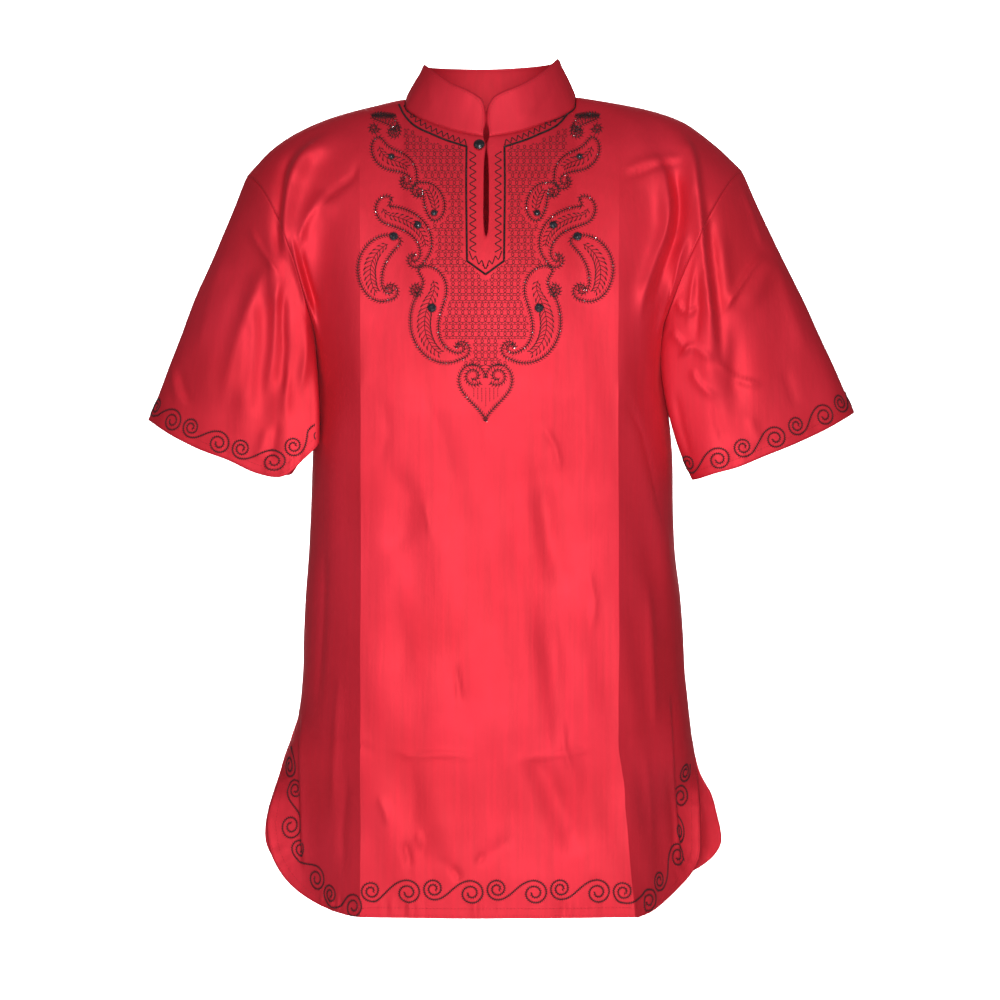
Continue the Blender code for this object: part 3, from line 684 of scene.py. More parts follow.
def stepped(points, normals, folds):
    """Folds where the cloth on the middle's side laps over the cloth beyond it."""
    lift = np.zeros(len(points))
    for height, reach, path in folds:
        rows = np.array(path, float)[::-1]
        at = np.interp(points[:, 2], rows[:, 1], rows[:, 0])
        side = (at - points[:, 0]) * np.sign(rows[0, 0])
        high, low = rows[-1, 1], rows[0, 1]
        ends = (1 - eased(points[:, 2], high - 30, high)) * eased(points[:, 2], low, low + 30)
        lift += height * np.tanh(side / 1.5) * np.exp(-np.abs(side) / reach) * ends
    return points + normals * lift[:, None]


def waved(points, normals, free, height, seed):
    """Slight unevenness: a few long waves that cross each other, the same on every run."""
    dice = np.random.default_rng(seed)
    lift = np.zeros(len(points))
    for _ in range(14):
        length = dice.uniform(34, 120)
        turn = dice.normal(0.35, 0.5)
        wave = np.array([math.cos(turn), 0.5 * math.sin(turn), 0.45 * math.sin(turn)])
        wave[1] += dice.uniform(-0.4, 0.4)
        bend = 0.25 * np.sin(points[:, 2] / dice.uniform(60, 130) + dice.uniform(0, 6))
        lift += np.sin(2 * math.pi * (points @ wave) / length + dice.uniform(0, 6) + bend * 3)
    return points + normals * (lift * height / 14**0.5 * free)[:, None]


def puckered(points, normals, from_edge, along_edge, height, seed):
    """Short pulls that the hem's stitching leaves, at right angles to the edge."""
    dice = np.random.default_rng(seed)
    lift = np.zeros(len(points))
    for length in (9.0, 13.0, 19.0, 31.0):
        lift += np.sin(2 * math.pi * along_edge / length + dice.uniform(0, 6))
    lift *= 0.5 + 0.5 * np.sin(2 * math.pi * along_edge / 83.0 + dice.uniform(0, 6))
    reach = np.exp(-(((from_edge - 9) / 10) ** 2))
    return points + normals * (lift * height / 2 * reach)[:, None]


def skin(points, faces, normals, thickness):
    """Vertices and faces of the cloth behind an outer face, with its edges closed."""
    count = len(points)
    inner = points - normals * np.broadcast_to(thickness, (count,))[:, None]
    edges = set()
    for face in faces:
        for a, b in zip(face, face[1:] + face[:1]):
            edges.add((a, b))
    out = list(faces)
    out += [[count + v for v in reversed(face)] for face in faces]
    for a, b in sorted(edges):
        if (b, a) not in edges:
            out.append([b, a, count + a, count + b])
    return np.concatenate([points, inner]), out


def folded(points, normals, free, folds):
    """The points moved along their normals by the large folds, which the solids have too."""
    lift = np.zeros(len(points))
    for half_width, height, path in folds:
        d, t = distance_to(points[:, [0, 2]], path)
        ends = eased(t, 0, 0.25) * (1 - eased(t, 0.75, 1))
        lift += height * np.exp(-((d / half_width) ** 2)) * (0.25 + 0.75 * ends)
    return points + normals * (lift * free)[:, None]


def grid_faces(index, outward=True):
    """Quads over a grid of vertex numbers."""
    a, b = index[:-1, :-1], index[:-1, 1:]
    c, d = index[1:, 1:], index[1:, :-1]
    quads = np.stack([a, b, c, d] if outward else [d, c, b, a], -1)
    return quads.reshape(-1, 4).tolist()


def run_lengths(line):
    """Length along a line of points, from its first point."""
    return np.concatenate([[0], np.cumsum(np.linalg.norm(np.diff(line, axis=0), axis=1))])


def panel_grid(front):
    """A panel's points in rows, with the shares of its columns and the heights of its rows."""
    times = FRONT_ACROSS if front else BACK_ACROSS
    side = np.linspace(0.5, 1, SIDE_STEPS * times + 1)[1:]
    facet = np.linspace(-0.5, 0.5, FRONT_STEPS * times + 1)
    shares = np.concatenate([-side[::-1], facet, side])
    heights = np.concatenate(
        [np.linspace(0, 1, LOW_ROWS + 1), 1 + np.arange(1, HIGH_ROWS + 1) / HIGH_ROWS]
    )
    grid = panel_point(shares[None, :], heights[:, None], front)
    grid[..., 1] += CLOSE_UP if front else -CLOSE_UP
    # The shoulder's corner fades out below the seam
    fade = eased(heights, 1.0, 1.15) * (1 - eased(heights, 1.86, 1.97))
    for _ in range(SMOOTHINGS * times):
        mean = (grid[:, :-2] + 2 * grid[:, 1:-1] + grid[:, 2:]) / 4
        grid[:, 1:-1] += (mean - grid[:, 1:-1]) * fade[:, None, None]
    return grid, shares, heights


def slit_apart(points, index):
    """The points with the middle column doubled above the slit's foot and moved apart.

    Returns them and the numbers of the left half's points.
    """
    middle = index.shape[1] // 2
    cut = np.arange(SLIT_ROW + 1, len(index))
    extra = points[index[cut, middle]].copy()
    half = along(SLIT, np.clip(extra[:, 2], SLIT[0][0], SLIT[-1][0]))[:, 0]
    points[index[cut, middle], 0] -= half
    extra[:, 0] += half
    left_index = index.copy()
    left_index[cut, middle] = len(points) + np.arange(len(cut))
    return np.concatenate([points, extra]), left_index


def panel_free(shares, heights, index, count):
    """How far each point may be creased: 0 at the seams and down the slit, 1 elsewhere."""
    rows, columns = index.shape
    share = np.broadcast_to(np.abs(shares), (rows, columns)).reshape(-1)
    height = np.broadcast_to(heights[:, None], (rows, columns)).reshape(-1)
    free = (1 - eased(share, 0.86, 0.99)) * (1 - eased(height, 1.8, 1.97))
    free = np.concatenate([free, np.zeros(count - rows * columns)])
    free[index[SLIT_ROW:, columns // 2]] = 0
    return free


def panel_draped(points, quads, free, pressed, front):
    """A panel's points with its folds, creases, laps and waves, and the normals they ran on."""
    points = folded(points, vertex_normals(points, quads), free * FOLD_SHARE,
                    FRONT_FOLDS if front else BACK_FOLDS)
    normals = vertex_normals(points, quads)
    yoke = np.exp(-(((points[:, 2] + 170) / 130) ** 2) - (points[:, 0] / 110) ** 2)
    calm = free * (1 - YOKE_CALM * yoke) if front else free
    points = creased(points, normals, free, FRONT_CREASES if front else BACK_CREASES)
    if front:
        rows_up = slice(LOW_ROWS - 8, LOW_ROWS + int(HIGH_ROWS * 0.9))
        lines = [points[column[rows_up]][::6][:, [0, 2]] for column in pressed]
        edges = [(PRESSED_WIDTH, PRESSED_HEIGHT, 1.0, line) for line in lines]
        points = creased(points, normals, free, edges)
        points = stepped(points, normals, FRONT_LAPS)
    seed = WAVE_SEEDS["front" if front else "back"]
    return waved(points, normals, calm, PANEL_WAVE, seed), normals


def panel(front):
    """The front or the back: points, faces, normals and the lines that others are laid on."""
    grid, shares, heights = panel_grid(front)
    rows, columns = grid.shape[:2]
    points = grid.reshape(-1, 3)
    index = np.arange(rows * columns).reshape(rows, columns)
    left_index = index
    if front:
        points, left_index = slit_apart(points, index)
    faces = grid_faces(index[:, : columns // 2 + 1], front)
    faces += grid_faces(left_index[:, columns // 2 :], front)
    quads = np.asarray(faces)
    free = panel_free(shares, heights, index, len(points))
    pressed = [index[:, int(np.argmin(np.abs(shares - s)))] for s in (-0.5, 0.5)]
    points, normals = panel_draped(points, quads, free, pressed, front)
    edge = np.concatenate(
        [index[VENT_ROW:0:-1, 0], index[0, :], index[1 : VENT_ROW + 1, -1]]
    )
    nearest, where = distance_to_line(points, points[edge])
    seed = PUCKER_SEEDS["front" if front else "back"]
    points = puckered(points, normals, nearest, where, HEM_PUCKER, seed)
    normals = vertex_normals(points, quads)
    for seam in (index[:, 0], index[:, -1], index[-1]):
        points[seam] -= normals[seam] * EDGE_ROLL
    for seam in (index[: LOW_ROWS + 1, 0], index[: LOW_ROWS + 1, -1],
                 index[-1, np.abs(shares) > 0.33]):
        normals[seam, 1] = 0
        normals[seam] /= np.linalg.norm(normals[seam], axis=1)[:, None]
    return {
        "points": points, "faces": faces, "normals": normals, "shares": shares, "edge": edge,
        "arms": (index[LOW_ROWS:, 0], index[LOW_ROWS:, -1]),
        "thickness": np.where(nearest < HEM_WIDTH, HEM_CLOTH, CLOTH),
        "creases": [column[:PRESSED_ROW] for column in pressed],
    }


def distance_to_line(points, line):
    """Distance of each point to a line in space, and the length along it to that place."""
    best = np.full(len(points), 1e9)
    where = np.zeros(len(points))
    lengths = run_lengths(line)
    step = max(1, len(line) // 90)
    picks = list(range(0, len(line) - 1, step)) + [len(line) - 1]
    for i, j in zip(picks[:-1], picks[1:]):
        a, b = line[i], line[j]
        length = max(np.linalg.norm(b - a), 1e-6)
        t = np.clip((points - a) @ (b - a) / length**2, 0, 1)
        d = np.linalg.norm(points - a - t[:, None] * (b - a), axis=1)
        nearer = d < best
        best = np.where(nearer, d, best)
        where = np.where(nearer, lengths[i] + t * (lengths[j] - lengths[i]), where)
    return best, where


def sleeve(front, back, cuff, folds, creases, left):
    """A sleeve from the armhole edges of the front and the back to its cuff."""
    side, key = (1, "left") if left else (0, "right")
    front_line, back_line = front["arms"][side], back["arms"][side]
    loop = np.concatenate([front["points"][front_line], back["points"][back_line][-2:0:-1]])
    out = np.concatenate([front["normals"][front_line], back["normals"][back_line][-2:0:-1]])
    around = len(loop)
    angle = np.arange(around) * 360 / around
    closed = cuff + tuple((row[0] + 360, *row[1:]) for row in cuff[:1])
    end = along(closed, angle)
    way = end - loop
    length = np.linalg.norm(way, axis=1)[:, None]
    sign = 1 if left else -1
    high = ((1 - np.cos(np.radians(angle))) / 2)[:, None]
    start = loop + SEAM * (1.5 - 0.5 * high) * out + 1.6 * SEAM * way / length
    under = (1 - high) ** 2 * np.array([[sign * 0.5, 0, 0]])
    near_lap = np.exp(-(((angle - LAP_ANGLE) / 20) ** 2))[:, None]
    lap = near_lap * np.array([[-sign * (LEFT_LAP if left else RIGHT_LAP), -9, 0]])
    first = start + way * 0.3 + under + lap
    second = end - way * 0.33 + lap
    count = SLEEVE_STEPS * SLEEVE_ROWS
    steps = np.linspace(0, 1, count + 1)
    grid = bezier(start[None], first[None], second[None], end[None], steps[:, None])
    points = grid.reshape(-1, 3)
    index = np.arange(len(points)).reshape(count + 1, around)
    wrapped = np.concatenate([index, index[:, :1]], 1)
    faces = grid_faces(wrapped, not left)
    quads = np.asarray(faces)
    normals = vertex_normals(points, quads)
    near = np.broadcast_to(steps[:, None], (count + 1, around)).reshape(-1)
    facing = eased(-normals[:, 1], 0.1, 0.6)
    points = folded(points, normals, facing * eased(near, 0.02, 0.2), folds)
    normals = vertex_normals(points, quads)
    hidden = eased(normals[:, 1], 0.1, 0.6)
    free = eased(near, 0.01, 0.12)
    points = creased(points, normals, (facing + 0.8 * hidden) * free, creases)
    points = waved(points, normals, free, SLEEVE_WAVE, WAVE_SEEDS[key])
    lines = grid.reshape(count + 1, around, 3)
    from_edge = np.linalg.norm(lines - lines[-1][None], axis=2).reshape(-1)
    ring = run_lengths(lines[-1])
    along_edge = np.broadcast_to(ring, (count + 1, around)).reshape(-1)
    points = puckered(points, normals, from_edge, along_edge, CUFF_PUCKER, PUCKER_SEEDS[key])
    normals = vertex_normals(points, quads)
    points[:around] -= normals[:around] * EDGE_ROLL
    # Where the sleeve carries on the body's face, both cloths end on one shared slant
    both = out + normals[:around]
    level = (out * normals[:around]).sum(axis=1) > 0.3
    shared = both / np.maximum(np.linalg.norm(both, axis=1), 1e-6)[:, None]
    normals[:around] = np.where(level[:, None], shared, normals[:around])
    return {
        "points": points, "faces": faces, "normals": normals, "edge": index[-1],
        "thickness": np.where(from_edge < CUFF_HEM_WIDTH, HEM_CLOTH, CLOTH),
    }


def collar(front):
    """The stand collar on the neck edges, with its two round ends at the slit."""
    shares = front["shares"]
    left = shares[(shares > -1e-9) & (shares < NECK_SHARE + 1e-6)]
    behind = shares[np.abs(shares) < NECK_SHARE - 0.01][::-1]
    right = -left[::-1]
    base = np.concatenate(
        [
            panel_point(left, 2.0, True),
            panel_point(behind, 2.0, False),
            panel_point(right, 2.0, True),
        ]
    )
    lengths = run_lengths(base)
    top = along(COLLAR_TOP, lengths / lengths[-1])
    inward = np.array([CENTRE_X + 4, 0, 0]) - base
    inward[:, 2] = 0
    inward /= np.linalg.norm(inward, axis=1)[:, None]
    foot = base + SEAM * inward + np.array([0, 0, SEAM - 0.4])
    lean = foot + (top - foot) * 0.4 + np.array([0, 0, 4]) * eased(top[:, 2], -10, 30)[:, None]
    t = np.linspace(0, 1, COLLAR_STEPS * COLLAR_ROWS + 1)
    grid = bezier(foot[None], lean[None], ((top + lean) / 2)[None], top[None], t[:, None])
    half = along(COLLAR_GAP, t)[:, 0]
    grid[:, 0, 0] = CENTRE_X + half
    grid[:, -1, 0] = CENTRE_X - half
    rows, columns = grid.shape[:2]
    index = np.arange(rows * columns).reshape(rows, columns)
    faces = grid_faces(index)
    quads = np.asarray(faces)
    points = grid.reshape(-1, 3)
    normals = vertex_normals(points, quads)
    free = np.broadcast_to((eased(t, 0.05, 0.3) * (1 - 0.5 * t))[:, None], (rows, columns))
    points = creased(points, normals, free.reshape(-1), COLLAR_CREASES)
    points = waved(points, normals, free.reshape(-1), COLLAR_WAVE, WAVE_SEEDS["collar"])
    normals = vertex_normals(points, quads)
    # The edges roll over, so the collar looks turned and pressed
    rolls = ((index[-1], 0.7), (index[-2], 0.15), (index[:, 0], 0.6), (index[:, -1], 0.6))
    for line, depth in rolls + ((index[0], EDGE_ROLL),):
        points[line] -= normals[line] * depth
    normals = vertex_normals(points, quads)
    flat = normals[index[0]]
    flat[:, 2] = 0
    normals[index[0]] = flat / np.linalg.norm(flat, axis=1)[:, None]
    rim = np.concatenate([index[:, 0], index[-1, 1:-1], index[::-1, -1]])
    return {
        "points": points, "faces": faces, "normals": normals, "edge": rim,
        "thickness": np.full(len(points), COLLAR_CLOTH), "foot": index[0],
    }


def into_scene(name, data):
    """A new object in the scene."""
    made = bpy.data.objects.new(name, data)
    bpy.context.scene.collection.objects.link(made)
    return made


def add_piece(name, points, faces, surface, smooth=True):
    """A mesh object from points in millimetres, riding on the shirt."""
    mesh = bpy.data.meshes.new(name)
    mesh.from_pydata((np.asarray(points) * MM).tolist(), [], faces)
    mesh.materials.append(surface)
    mesh.polygons.foreach_set("use_smooth", [smooth] * len(mesh.polygons))
    mesh.update()
    made = into_scene(name, mesh)
    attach(made, BODY)
    return made


RIB_SCALE = 0.314
PLY_PITCH = 0.0009


class Nodes:
    """Short ways to add and link the nodes of one material."""

    def __init__(self, name):
        self.material = bpy.data.materials.new(name)
        self.material.use_nodes = True
        self.tree = self.material.node_tree
        self.shader = self.tree.nodes["Principled BSDF"]

    def add(self, kind, **values):
        """A new node with sockets or settings set by name."""
        made = self.tree.nodes.new(kind)
        for key, value in values.items():
            if key in made.inputs:
                made.inputs[key].default_value = value
            else:
                setattr(made, key, value)
        return made

    def link(self, start, end):
        """Joins an output to an input."""
        self.tree.links.new(start, end)

    def shade(self, levels):
        """Sets sockets of the shader."""
        for socket, level in levels.items():
            self.shader.inputs[socket].default_value = level

    def ribs(self, pitch, distortion=0.0):
        """Slanted ribs at a pitch in metres."""
        made = self.add("ShaderNodeTexWave", wave_type="BANDS", bands_direction="DIAGONAL")
        made.inputs["Scale"].default_value = RIB_SCALE / pitch
        made.inputs["Distortion"].default_value = distortion
        self.link(self.stretched((1, 1, 1)), made.inputs["Vector"])
        return made.outputs["Fac"]

    def stretched(self, scale):
        """Object coordinates, scaled."""
        place = self.add("ShaderNodeTexCoord")
        mapping = self.add("ShaderNodeMapping")
        mapping.inputs["Scale"].default_value = scale
        self.link(place.outputs["Object"], mapping.inputs["Vector"])
        return mapping.outputs["Vector"]

    def noise(self, scale, detail=2.0, stretch=(1, 1, 1)):
        """Cloudy noise, drawn out when stretched."""
        made = self.add("ShaderNodeTexNoise", Scale=scale, Detail=detail)
        self.link(self.stretched(stretch), made.inputs["Vector"])
        return made.outputs["Fac"]

    def ranged(self, value, low, high, lowest=0.3, highest=0.7):
        """A value moved from one range to another."""
        made = self.add("ShaderNodeMapRange")
        for key, number in zip(
            ("From Min", "From Max", "To Min", "To Max"), (lowest, highest, low, high)
        ):
            made.inputs[key].default_value = number
        self.link(value, made.inputs["Value"])
        return made.outputs["Result"]

    def blended(self, factor, first, second):
        """Two colours mixed by a factor. Sockets 6 and 7 of the node are its colours."""
        made = self.add("ShaderNodeMix", data_type="RGBA")
        made.inputs[6].default_value = (*first, 1)
        made.inputs[7].default_value = (*second, 1)
        self.link(factor, made.inputs[0])
        return made.outputs[2]

    def bumped(self, height, strength, distance, below=None):
        """A bump, laid over another one if given."""
        made = self.add("ShaderNodeBump", Strength=strength, Distance=distance)
        self.link(height, made.inputs["Height"])
        if below is not None:
            self.link(below, made.inputs["Normal"])
        return made.outputs["Normal"]


def dyed_cotton(name, colours, sizes, shade=1.0, rough=0.0):
    """Polished cotton: fine diagonal weave, upright slubs, soft sheen, uneven dye."""
    red = np.array(colours.cloth[:]) * shade
    n = Nodes(name)
    # Uneven dye: broad clouds, then faint upright streaks
    clouds = n.ranged(n.noise(7.0, 3.0), 0.0, 1.0)
    dye = n.blended(clouds, tuple(red * (0.93, 0.85, 0.85)), tuple(red * (1.05, 1.25, 1.25)))
    streaks = n.noise(1.0, 2.0, (210, 210, 9))
    mixed = n.add("ShaderNodeMix", data_type="RGBA", blend_type="MULTIPLY")
    mixed.inputs[0].default_value = 1.0
    tint = n.blended(n.ranged(streaks, 0.0, 1.0), (0.94, 0.9, 0.9), (1.03, 1.06, 1.06))
    n.link(dye, mixed.inputs[6])
    n.link(tint, mixed.inputs[7])
    n.link(mixed.outputs[2], n.shader.inputs["Base Color"])
    # Polish: the floats of the weave throw back red light, duller where the cloth is worn soft
    polish = n.ranged(n.noise(13.0, 4.0), sizes.polish + rough - 0.04, sizes.polish + rough + 0.06)
    n.link(polish, n.shader.inputs["Roughness"])
    n.link(n.ranged(streaks, sizes.satin - 0.05, sizes.satin + 0.05), n.shader.inputs["Metallic"])
    n.shade({
        "Specular IOR Level": sizes.gloss, "Specular Tint": (1.0, 0.6, 0.62, 1.0),
        "Sheen Weight": sizes.sheen, "Sheen Roughness": 0.32,
        "Sheen Tint": (1.0, 0.25, 0.3, 1.0),
    })
    # Weave and slubs
    thread = n.bumped(n.ribs(sizes.weave_pitch * 1.7, 0.6), 0.22, 0.00006)
    slubs = n.bumped(streaks, 0.35, 0.0004, thread)
    crumple = n.bumped(n.noise(46.0, 3.0), 0.30, 0.0011, slubs)
    n.link(crumple, n.shader.inputs["Normal"])
    return n.material


def thread_finish(name, colour, colour_lit, rough=0.5, sheen=0.02):
    """Spun thread: twisted plies with a dry shine, its colour a little uneven."""
    n = Nodes(name)
    tone = n.blended(n.ranged(n.noise(260.0, 2.0), 0.0, 1.0), tuple(colour), tuple(colour_lit))
    n.link(tone, n.shader.inputs["Base Color"])
    polish = n.ranged(n.noise(420.0, 2.0), rough - 0.08, rough + 0.1)
    n.link(polish, n.shader.inputs["Roughness"])
    n.shade({"Specular IOR Level": 0.25, "Sheen Weight": sheen, "Sheen Roughness": 0.4})
    n.link(n.bumped(n.ribs(PLY_PITCH), 0.5, 0.00015), n.shader.inputs["Normal"])
    return n.material


def hard_finish(name, colour, colour_lit, rough, metallic=0.0):
    """Cut stone or moulded button: glossy, with faint cloudiness and fine marks."""
    n = Nodes(name)
    tone = n.blended(n.ranged(n.noise(300.0, 3.0), 0.0, 1.0), tuple(colour), tuple(colour_lit))
    n.link(tone, n.shader.inputs["Base Color"])
    n.link(n.ranged(n.noise(500.0, 2.0), rough, rough + 0.12), n.shader.inputs["Roughness"])
    n.shade({"Metallic": metallic})
    n.link(n.bumped(n.noise(900.0, 2.0), 0.15, 0.0001), n.shader.inputs["Normal"])
    return n.material


def finishes():
    """The shirt's materials, made once and then looked up by name."""
    colours, sizes = bpy.context.scene.shirt_colours, bpy.context.scene.shirt_sizes
    black, red = tuple(colours.thread), tuple(colours.red_thread)
    lit = tuple(min(1.0, c * 2.0 + 0.006) for c in black)
    makers = {
        "red_cotton_cloth": lambda n: dyed_cotton(n, colours, sizes),
        "red_collar_cloth": lambda n: dyed_cotton(n, colours, sizes, 0.94, 0.03),
        "black_thread": lambda n: thread_finish(n, black, lit),
        "border_thread": lambda n: thread_finish(n, tuple(colours.border_thread), lit),
        "fine_thread": lambda n: thread_finish(n, tuple(colours.fine_thread), lit, 0.55),
        "red_thread": lambda n: thread_finish(n, red, tuple(c * 1.3 for c in red), 0.5),
        "black_cord": lambda n: thread_finish(n, black, lit, 0.36, 0.04),
        "red_loop_cord": lambda n: thread_finish(n, red, tuple(c * 1.4 for c in red), 0.45),
        "jet_stone": lambda n: hard_finish(n, (0.006, 0.006, 0.008), (0.03, 0.03, 0.04), 0.12),
        "jet_button": lambda n: hard_finish(n, (0.008, 0.008, 0.01), (0.02, 0.02, 0.024), 0.16),
        "glitter": lambda n: hard_finish(n, (0.8, 0.78, 0.8), (1.0, 0.95, 0.97), 0.1, 0.9),
    }
    found = {}
    for name, make in makers.items():
        found[name] = bpy.data.materials.get(name) or make(name)
    return found


def strands(paths, normals, radius, sides=5):
    """Round threads, all of as many points, closed at both ends: vertices and faces.

    Paths and normals hold thread, point and coordinate. A ring starts along the normal.
    """
    paths = np.asarray(paths, float)
    count, rows = paths.shape[:2]
    way = np.gradient(paths, axis=1)
    way /= np.maximum(np.linalg.norm(way, axis=-1, keepdims=True), 1e-9)
    out = normals - (normals * way).sum(-1, keepdims=True) * way
    out /= np.maximum(np.linalg.norm(out, axis=-1, keepdims=True), 1e-9)
    side = np.cross(way, out)
    turn = np.arange(sides) * 2 * math.pi / sides
    cosine, sine = np.cos(turn)[:, None], np.sin(turn)[:, None]
    ring = cosine * out[..., None, :] + sine * side[..., None, :]
    taper = np.ones(rows)
    taper[[0, -1]] = 0.55
    wide = np.broadcast_to(radius, (count, rows)) * taper
    vertices = paths[:, :, None, :] + ring * wide[:, :, None, None]
    index = np.arange(count * rows * sides).reshape(count, rows, sides)
    a, b = index[:, :-1], index[:, 1:]
    quads = np.stack([a, np.roll(a, -1, 2), np.roll(b, -1, 2), b], -1).reshape(-1, 4)
    caps = np.concatenate([index[:, 0, ::-1], index[:, -1]])
    return vertices.reshape(-1, 3), quads.tolist() + caps.tolist()


def joined(parts):
    """Several lots of vertices and faces as one."""
    vertices, faces, done = [], [], 0
    for some, its_faces in parts:
        vertices.append(some)
        faces += [[v + done for v in face] for face in its_faces]
        done += len(some)
    return np.concatenate(vertices), faces


def curve_through(points, pitch, closed=False):
    """A smooth line through the points, resampled at an even pitch."""
    p = np.asarray(points, float)
    if closed:
        p = np.concatenate([p[-1:], p, p[:2]])
    else:
        p = np.concatenate([2 * p[:1] - p[1:2], p, 2 * p[-1:] - p[-2:-1]])
    t = np.linspace(0, 1, 13)[:-1][:, None]
    out = []
    for a, b, c, d in zip(p[:-3], p[1:-2], p[2:-1], p[3:]):
        out.append(
            0.5 * (2 * b + (c - a) * t + (2 * a - 5 * b + 4 * c - d) * t**2
                   + (3 * b - a - 3 * c + d) * t**3)
        )
    line = np.concatenate([*out, p[-2:-1]])
    return evenly(line, pitch)


def evenly(line, pitch):
    """A line of points resampled at an even pitch."""
    lengths = run_lengths(line)
    count = max(2, int(round(lengths[-1] / pitch)) + 1)
    at = np.linspace(0, lengths[-1], count)
    return np.stack([np.interp(at, lengths, line[:, k]) for k in range(line.shape[1])], -1)


def spiral(centre, outer, inner, start, turns):
    """A flat spiral inwards, from an angle in degrees. Turns are negative clockwise."""
    t = np.linspace(0, 1, int(abs(turns) * 22) + 4)
    angle = math.radians(start) + 2 * math.pi * turns * t
    radius = outer + (inner - outer) * t**0.9
    return np.stack(
        [centre[0] + radius * np.cos(angle), centre[1] + radius * np.sin(angle)], -1
    )


def across(line):
    """Unit ways along a flat line, and the ways square to it."""
    way = np.gradient(line, axis=0)
    way /= np.maximum(np.linalg.norm(way, axis=1)[:, None], 1e-9)
    return way, np.stack([-way[:, 1], way[:, 0]], -1)


# The front view: where it is seen from, its middle, and the reach that gives 1 unit for 1 mm
EYE = np.array([13.0, -3000.0, -403.0])
VIEW_MIDDLE = 500
VIEW_REACH = 3000
SURFACES = {}


class Surface:
    """A cloth piece's outer face, for laying threads on it."""

    def __init__(self, piece):
        self.points = piece["points"]
        faces = np.asarray(piece["faces"])
        self.tree = BVHTree.FromPolygons(self.points.tolist(), faces.tolist())
        self.normals = vertex_normals(self.points, faces)
        self.faces = faces

    def smooth_normal(self, place, face):
        """The normal at a place, eased between the corners of its face."""
        corners = self.faces[face]
        weight = 1 / (np.linalg.norm(self.points[corners] - place, axis=1) + 0.05)
        normal = (self.normals[corners] * weight[:, None]).sum(0)
        return normal / np.linalg.norm(normal)

    def seen_at(self, places):
        """Points and normals under places of the front view."""
        points = np.empty((len(places), 3))
        normals = np.empty((len(places), 3))
        for k, (u, v) in enumerate(places):
            way = Vector(((u - VIEW_MIDDLE) / VIEW_REACH, 1.0, (VIEW_MIDDLE - v) / VIEW_REACH))
            hit, _, face, _ = self.tree.ray_cast(Vector(EYE), way.normalized())
            if hit is None:
                # Beside the cloth's edge: the nearest place at the cloth's usual depth there
                guess = EYE + np.array(way) * np.interp(v, (108, 150), (2988, 2900))
                hit, _, face, _ = self.tree.find_nearest(Vector(guess))
            points[k] = hit
            normals[k] = self.smooth_normal(points[k], face)
        return points, normals

    def nearest(self, places):
        """Points and normals on the outer face nearest to places in space."""
        points = np.empty((len(places), 3))
        normals = np.empty((len(places), 3))
        for k, place in enumerate(places):
            hit, _, face, _ = self.tree.find_nearest(Vector(place))
            points[k] = hit
            normals[k] = self.smooth_normal(points[k], face)
        return points, normals


def softened(line, times, closed):
    """A line of points smoothed, its ends kept in place unless it is closed."""
    line = line.copy()
    for _ in range(times):
        if closed:
            ring = line[:-1]
            ring = (np.roll(ring, 1, 0) + 2 * ring + np.roll(ring, -1, 0)) / 4
            line = np.concatenate([ring, ring[:1]])
        else:
            line[1:-1] = (line[:-2] + 2 * line[1:-1] + line[2:]) / 4
    return line


def ways_in(surface, line, closed):
    """Normals along a line on the cloth, and the ways square to it, away from the edge."""
    way = np.gradient(line, axis=0)
    if closed:
        way[0] = way[-1] = line[1] - line[-2]
    way /= np.linalg.norm(way, axis=1)[:, None]
    out = softened(surface.nearest(line)[1], 6, closed)
    out /= np.linalg.norm(out, axis=1)[:, None]
    inward = np.cross(out, way)
    return out, inward / np.linalg.norm(inward, axis=1)[:, None]


def guide_along(surface, edge, inset, closed=False):
    """A line on a piece, inset from its edge: its points, ways along, inwards and out."""
    edge = np.append(edge, edge[0]) if closed else edge
    near_edge = inset < 12
    line = softened(evenly(surface.points[edge], 4.0), 3 if near_edge else 14, closed)
    _, inward = ways_in(surface, line, closed)
    moved = surface.nearest(line + inward * inset)[0]
    moved = softened(moved, 3 if near_edge else 22, closed)
    moved = evenly(surface.nearest(moved)[0], 3.0)
    out, inward = ways_in(surface, moved, closed)
    return {"line": moved, "inward": inward, "lengths": run_lengths(moved), "out": out}


def laid_on(surface, guide, flat):
    """Flat pattern points, length along and height inwards, laid on the cloth."""
    at = np.clip(flat[:, 0], 0, guide["lengths"][-1])
    place, inward, out = (
        np.stack([np.interp(at, guide["lengths"], guide[key][:, k]) for k in range(3)], -1)
        for key in ("line", "inward", "out")
    )
    return surface.nearest(place + inward * flat[:, 1:2] + out * 0.5)


# The embroidered yoke in the front view, wearer's right half; the other half mirrors it
MIRROR = 971.0

# Leaf scrolls by formula: across, down, heading, length and turn of the first bend, length
# and turn of the second bend, half width, radius of the hook. Turns and headings in degrees.
SCROLLS = (
    (380, 136, 110, 30, -95, 32, 75, 10.5, 7),
    (433, 222, 290, 24, -40, 20, -70, 10, 6),
    (393, 199, 190, 26, -178, 70, 125, 10, 6),
    (402, 241, 180, 52, -95, 36, -110, 13, 6),
    (417, 270, 0, 34, 115, 90, -140, 14.5, 7),
    (371, 117, -8, 24, 50, 10, 60, 4.2, 4.5),
)

# Small curls by themselves: across, down, radius, start angle, turns
CURLS = (
    (417, 291, 7, -70, -1.7), (374, 128, 5.5, 0, 1.5), (396, 128, 4.5, 180, -1.4),
)

# Stones: across, down, radius
STONES = (
    (391.6, 156.5, 2.9), (434, 213, 3.1), (417.8, 225, 3.8), (393.6, 236.4, 4.2), (432, 308, 4.3),
)

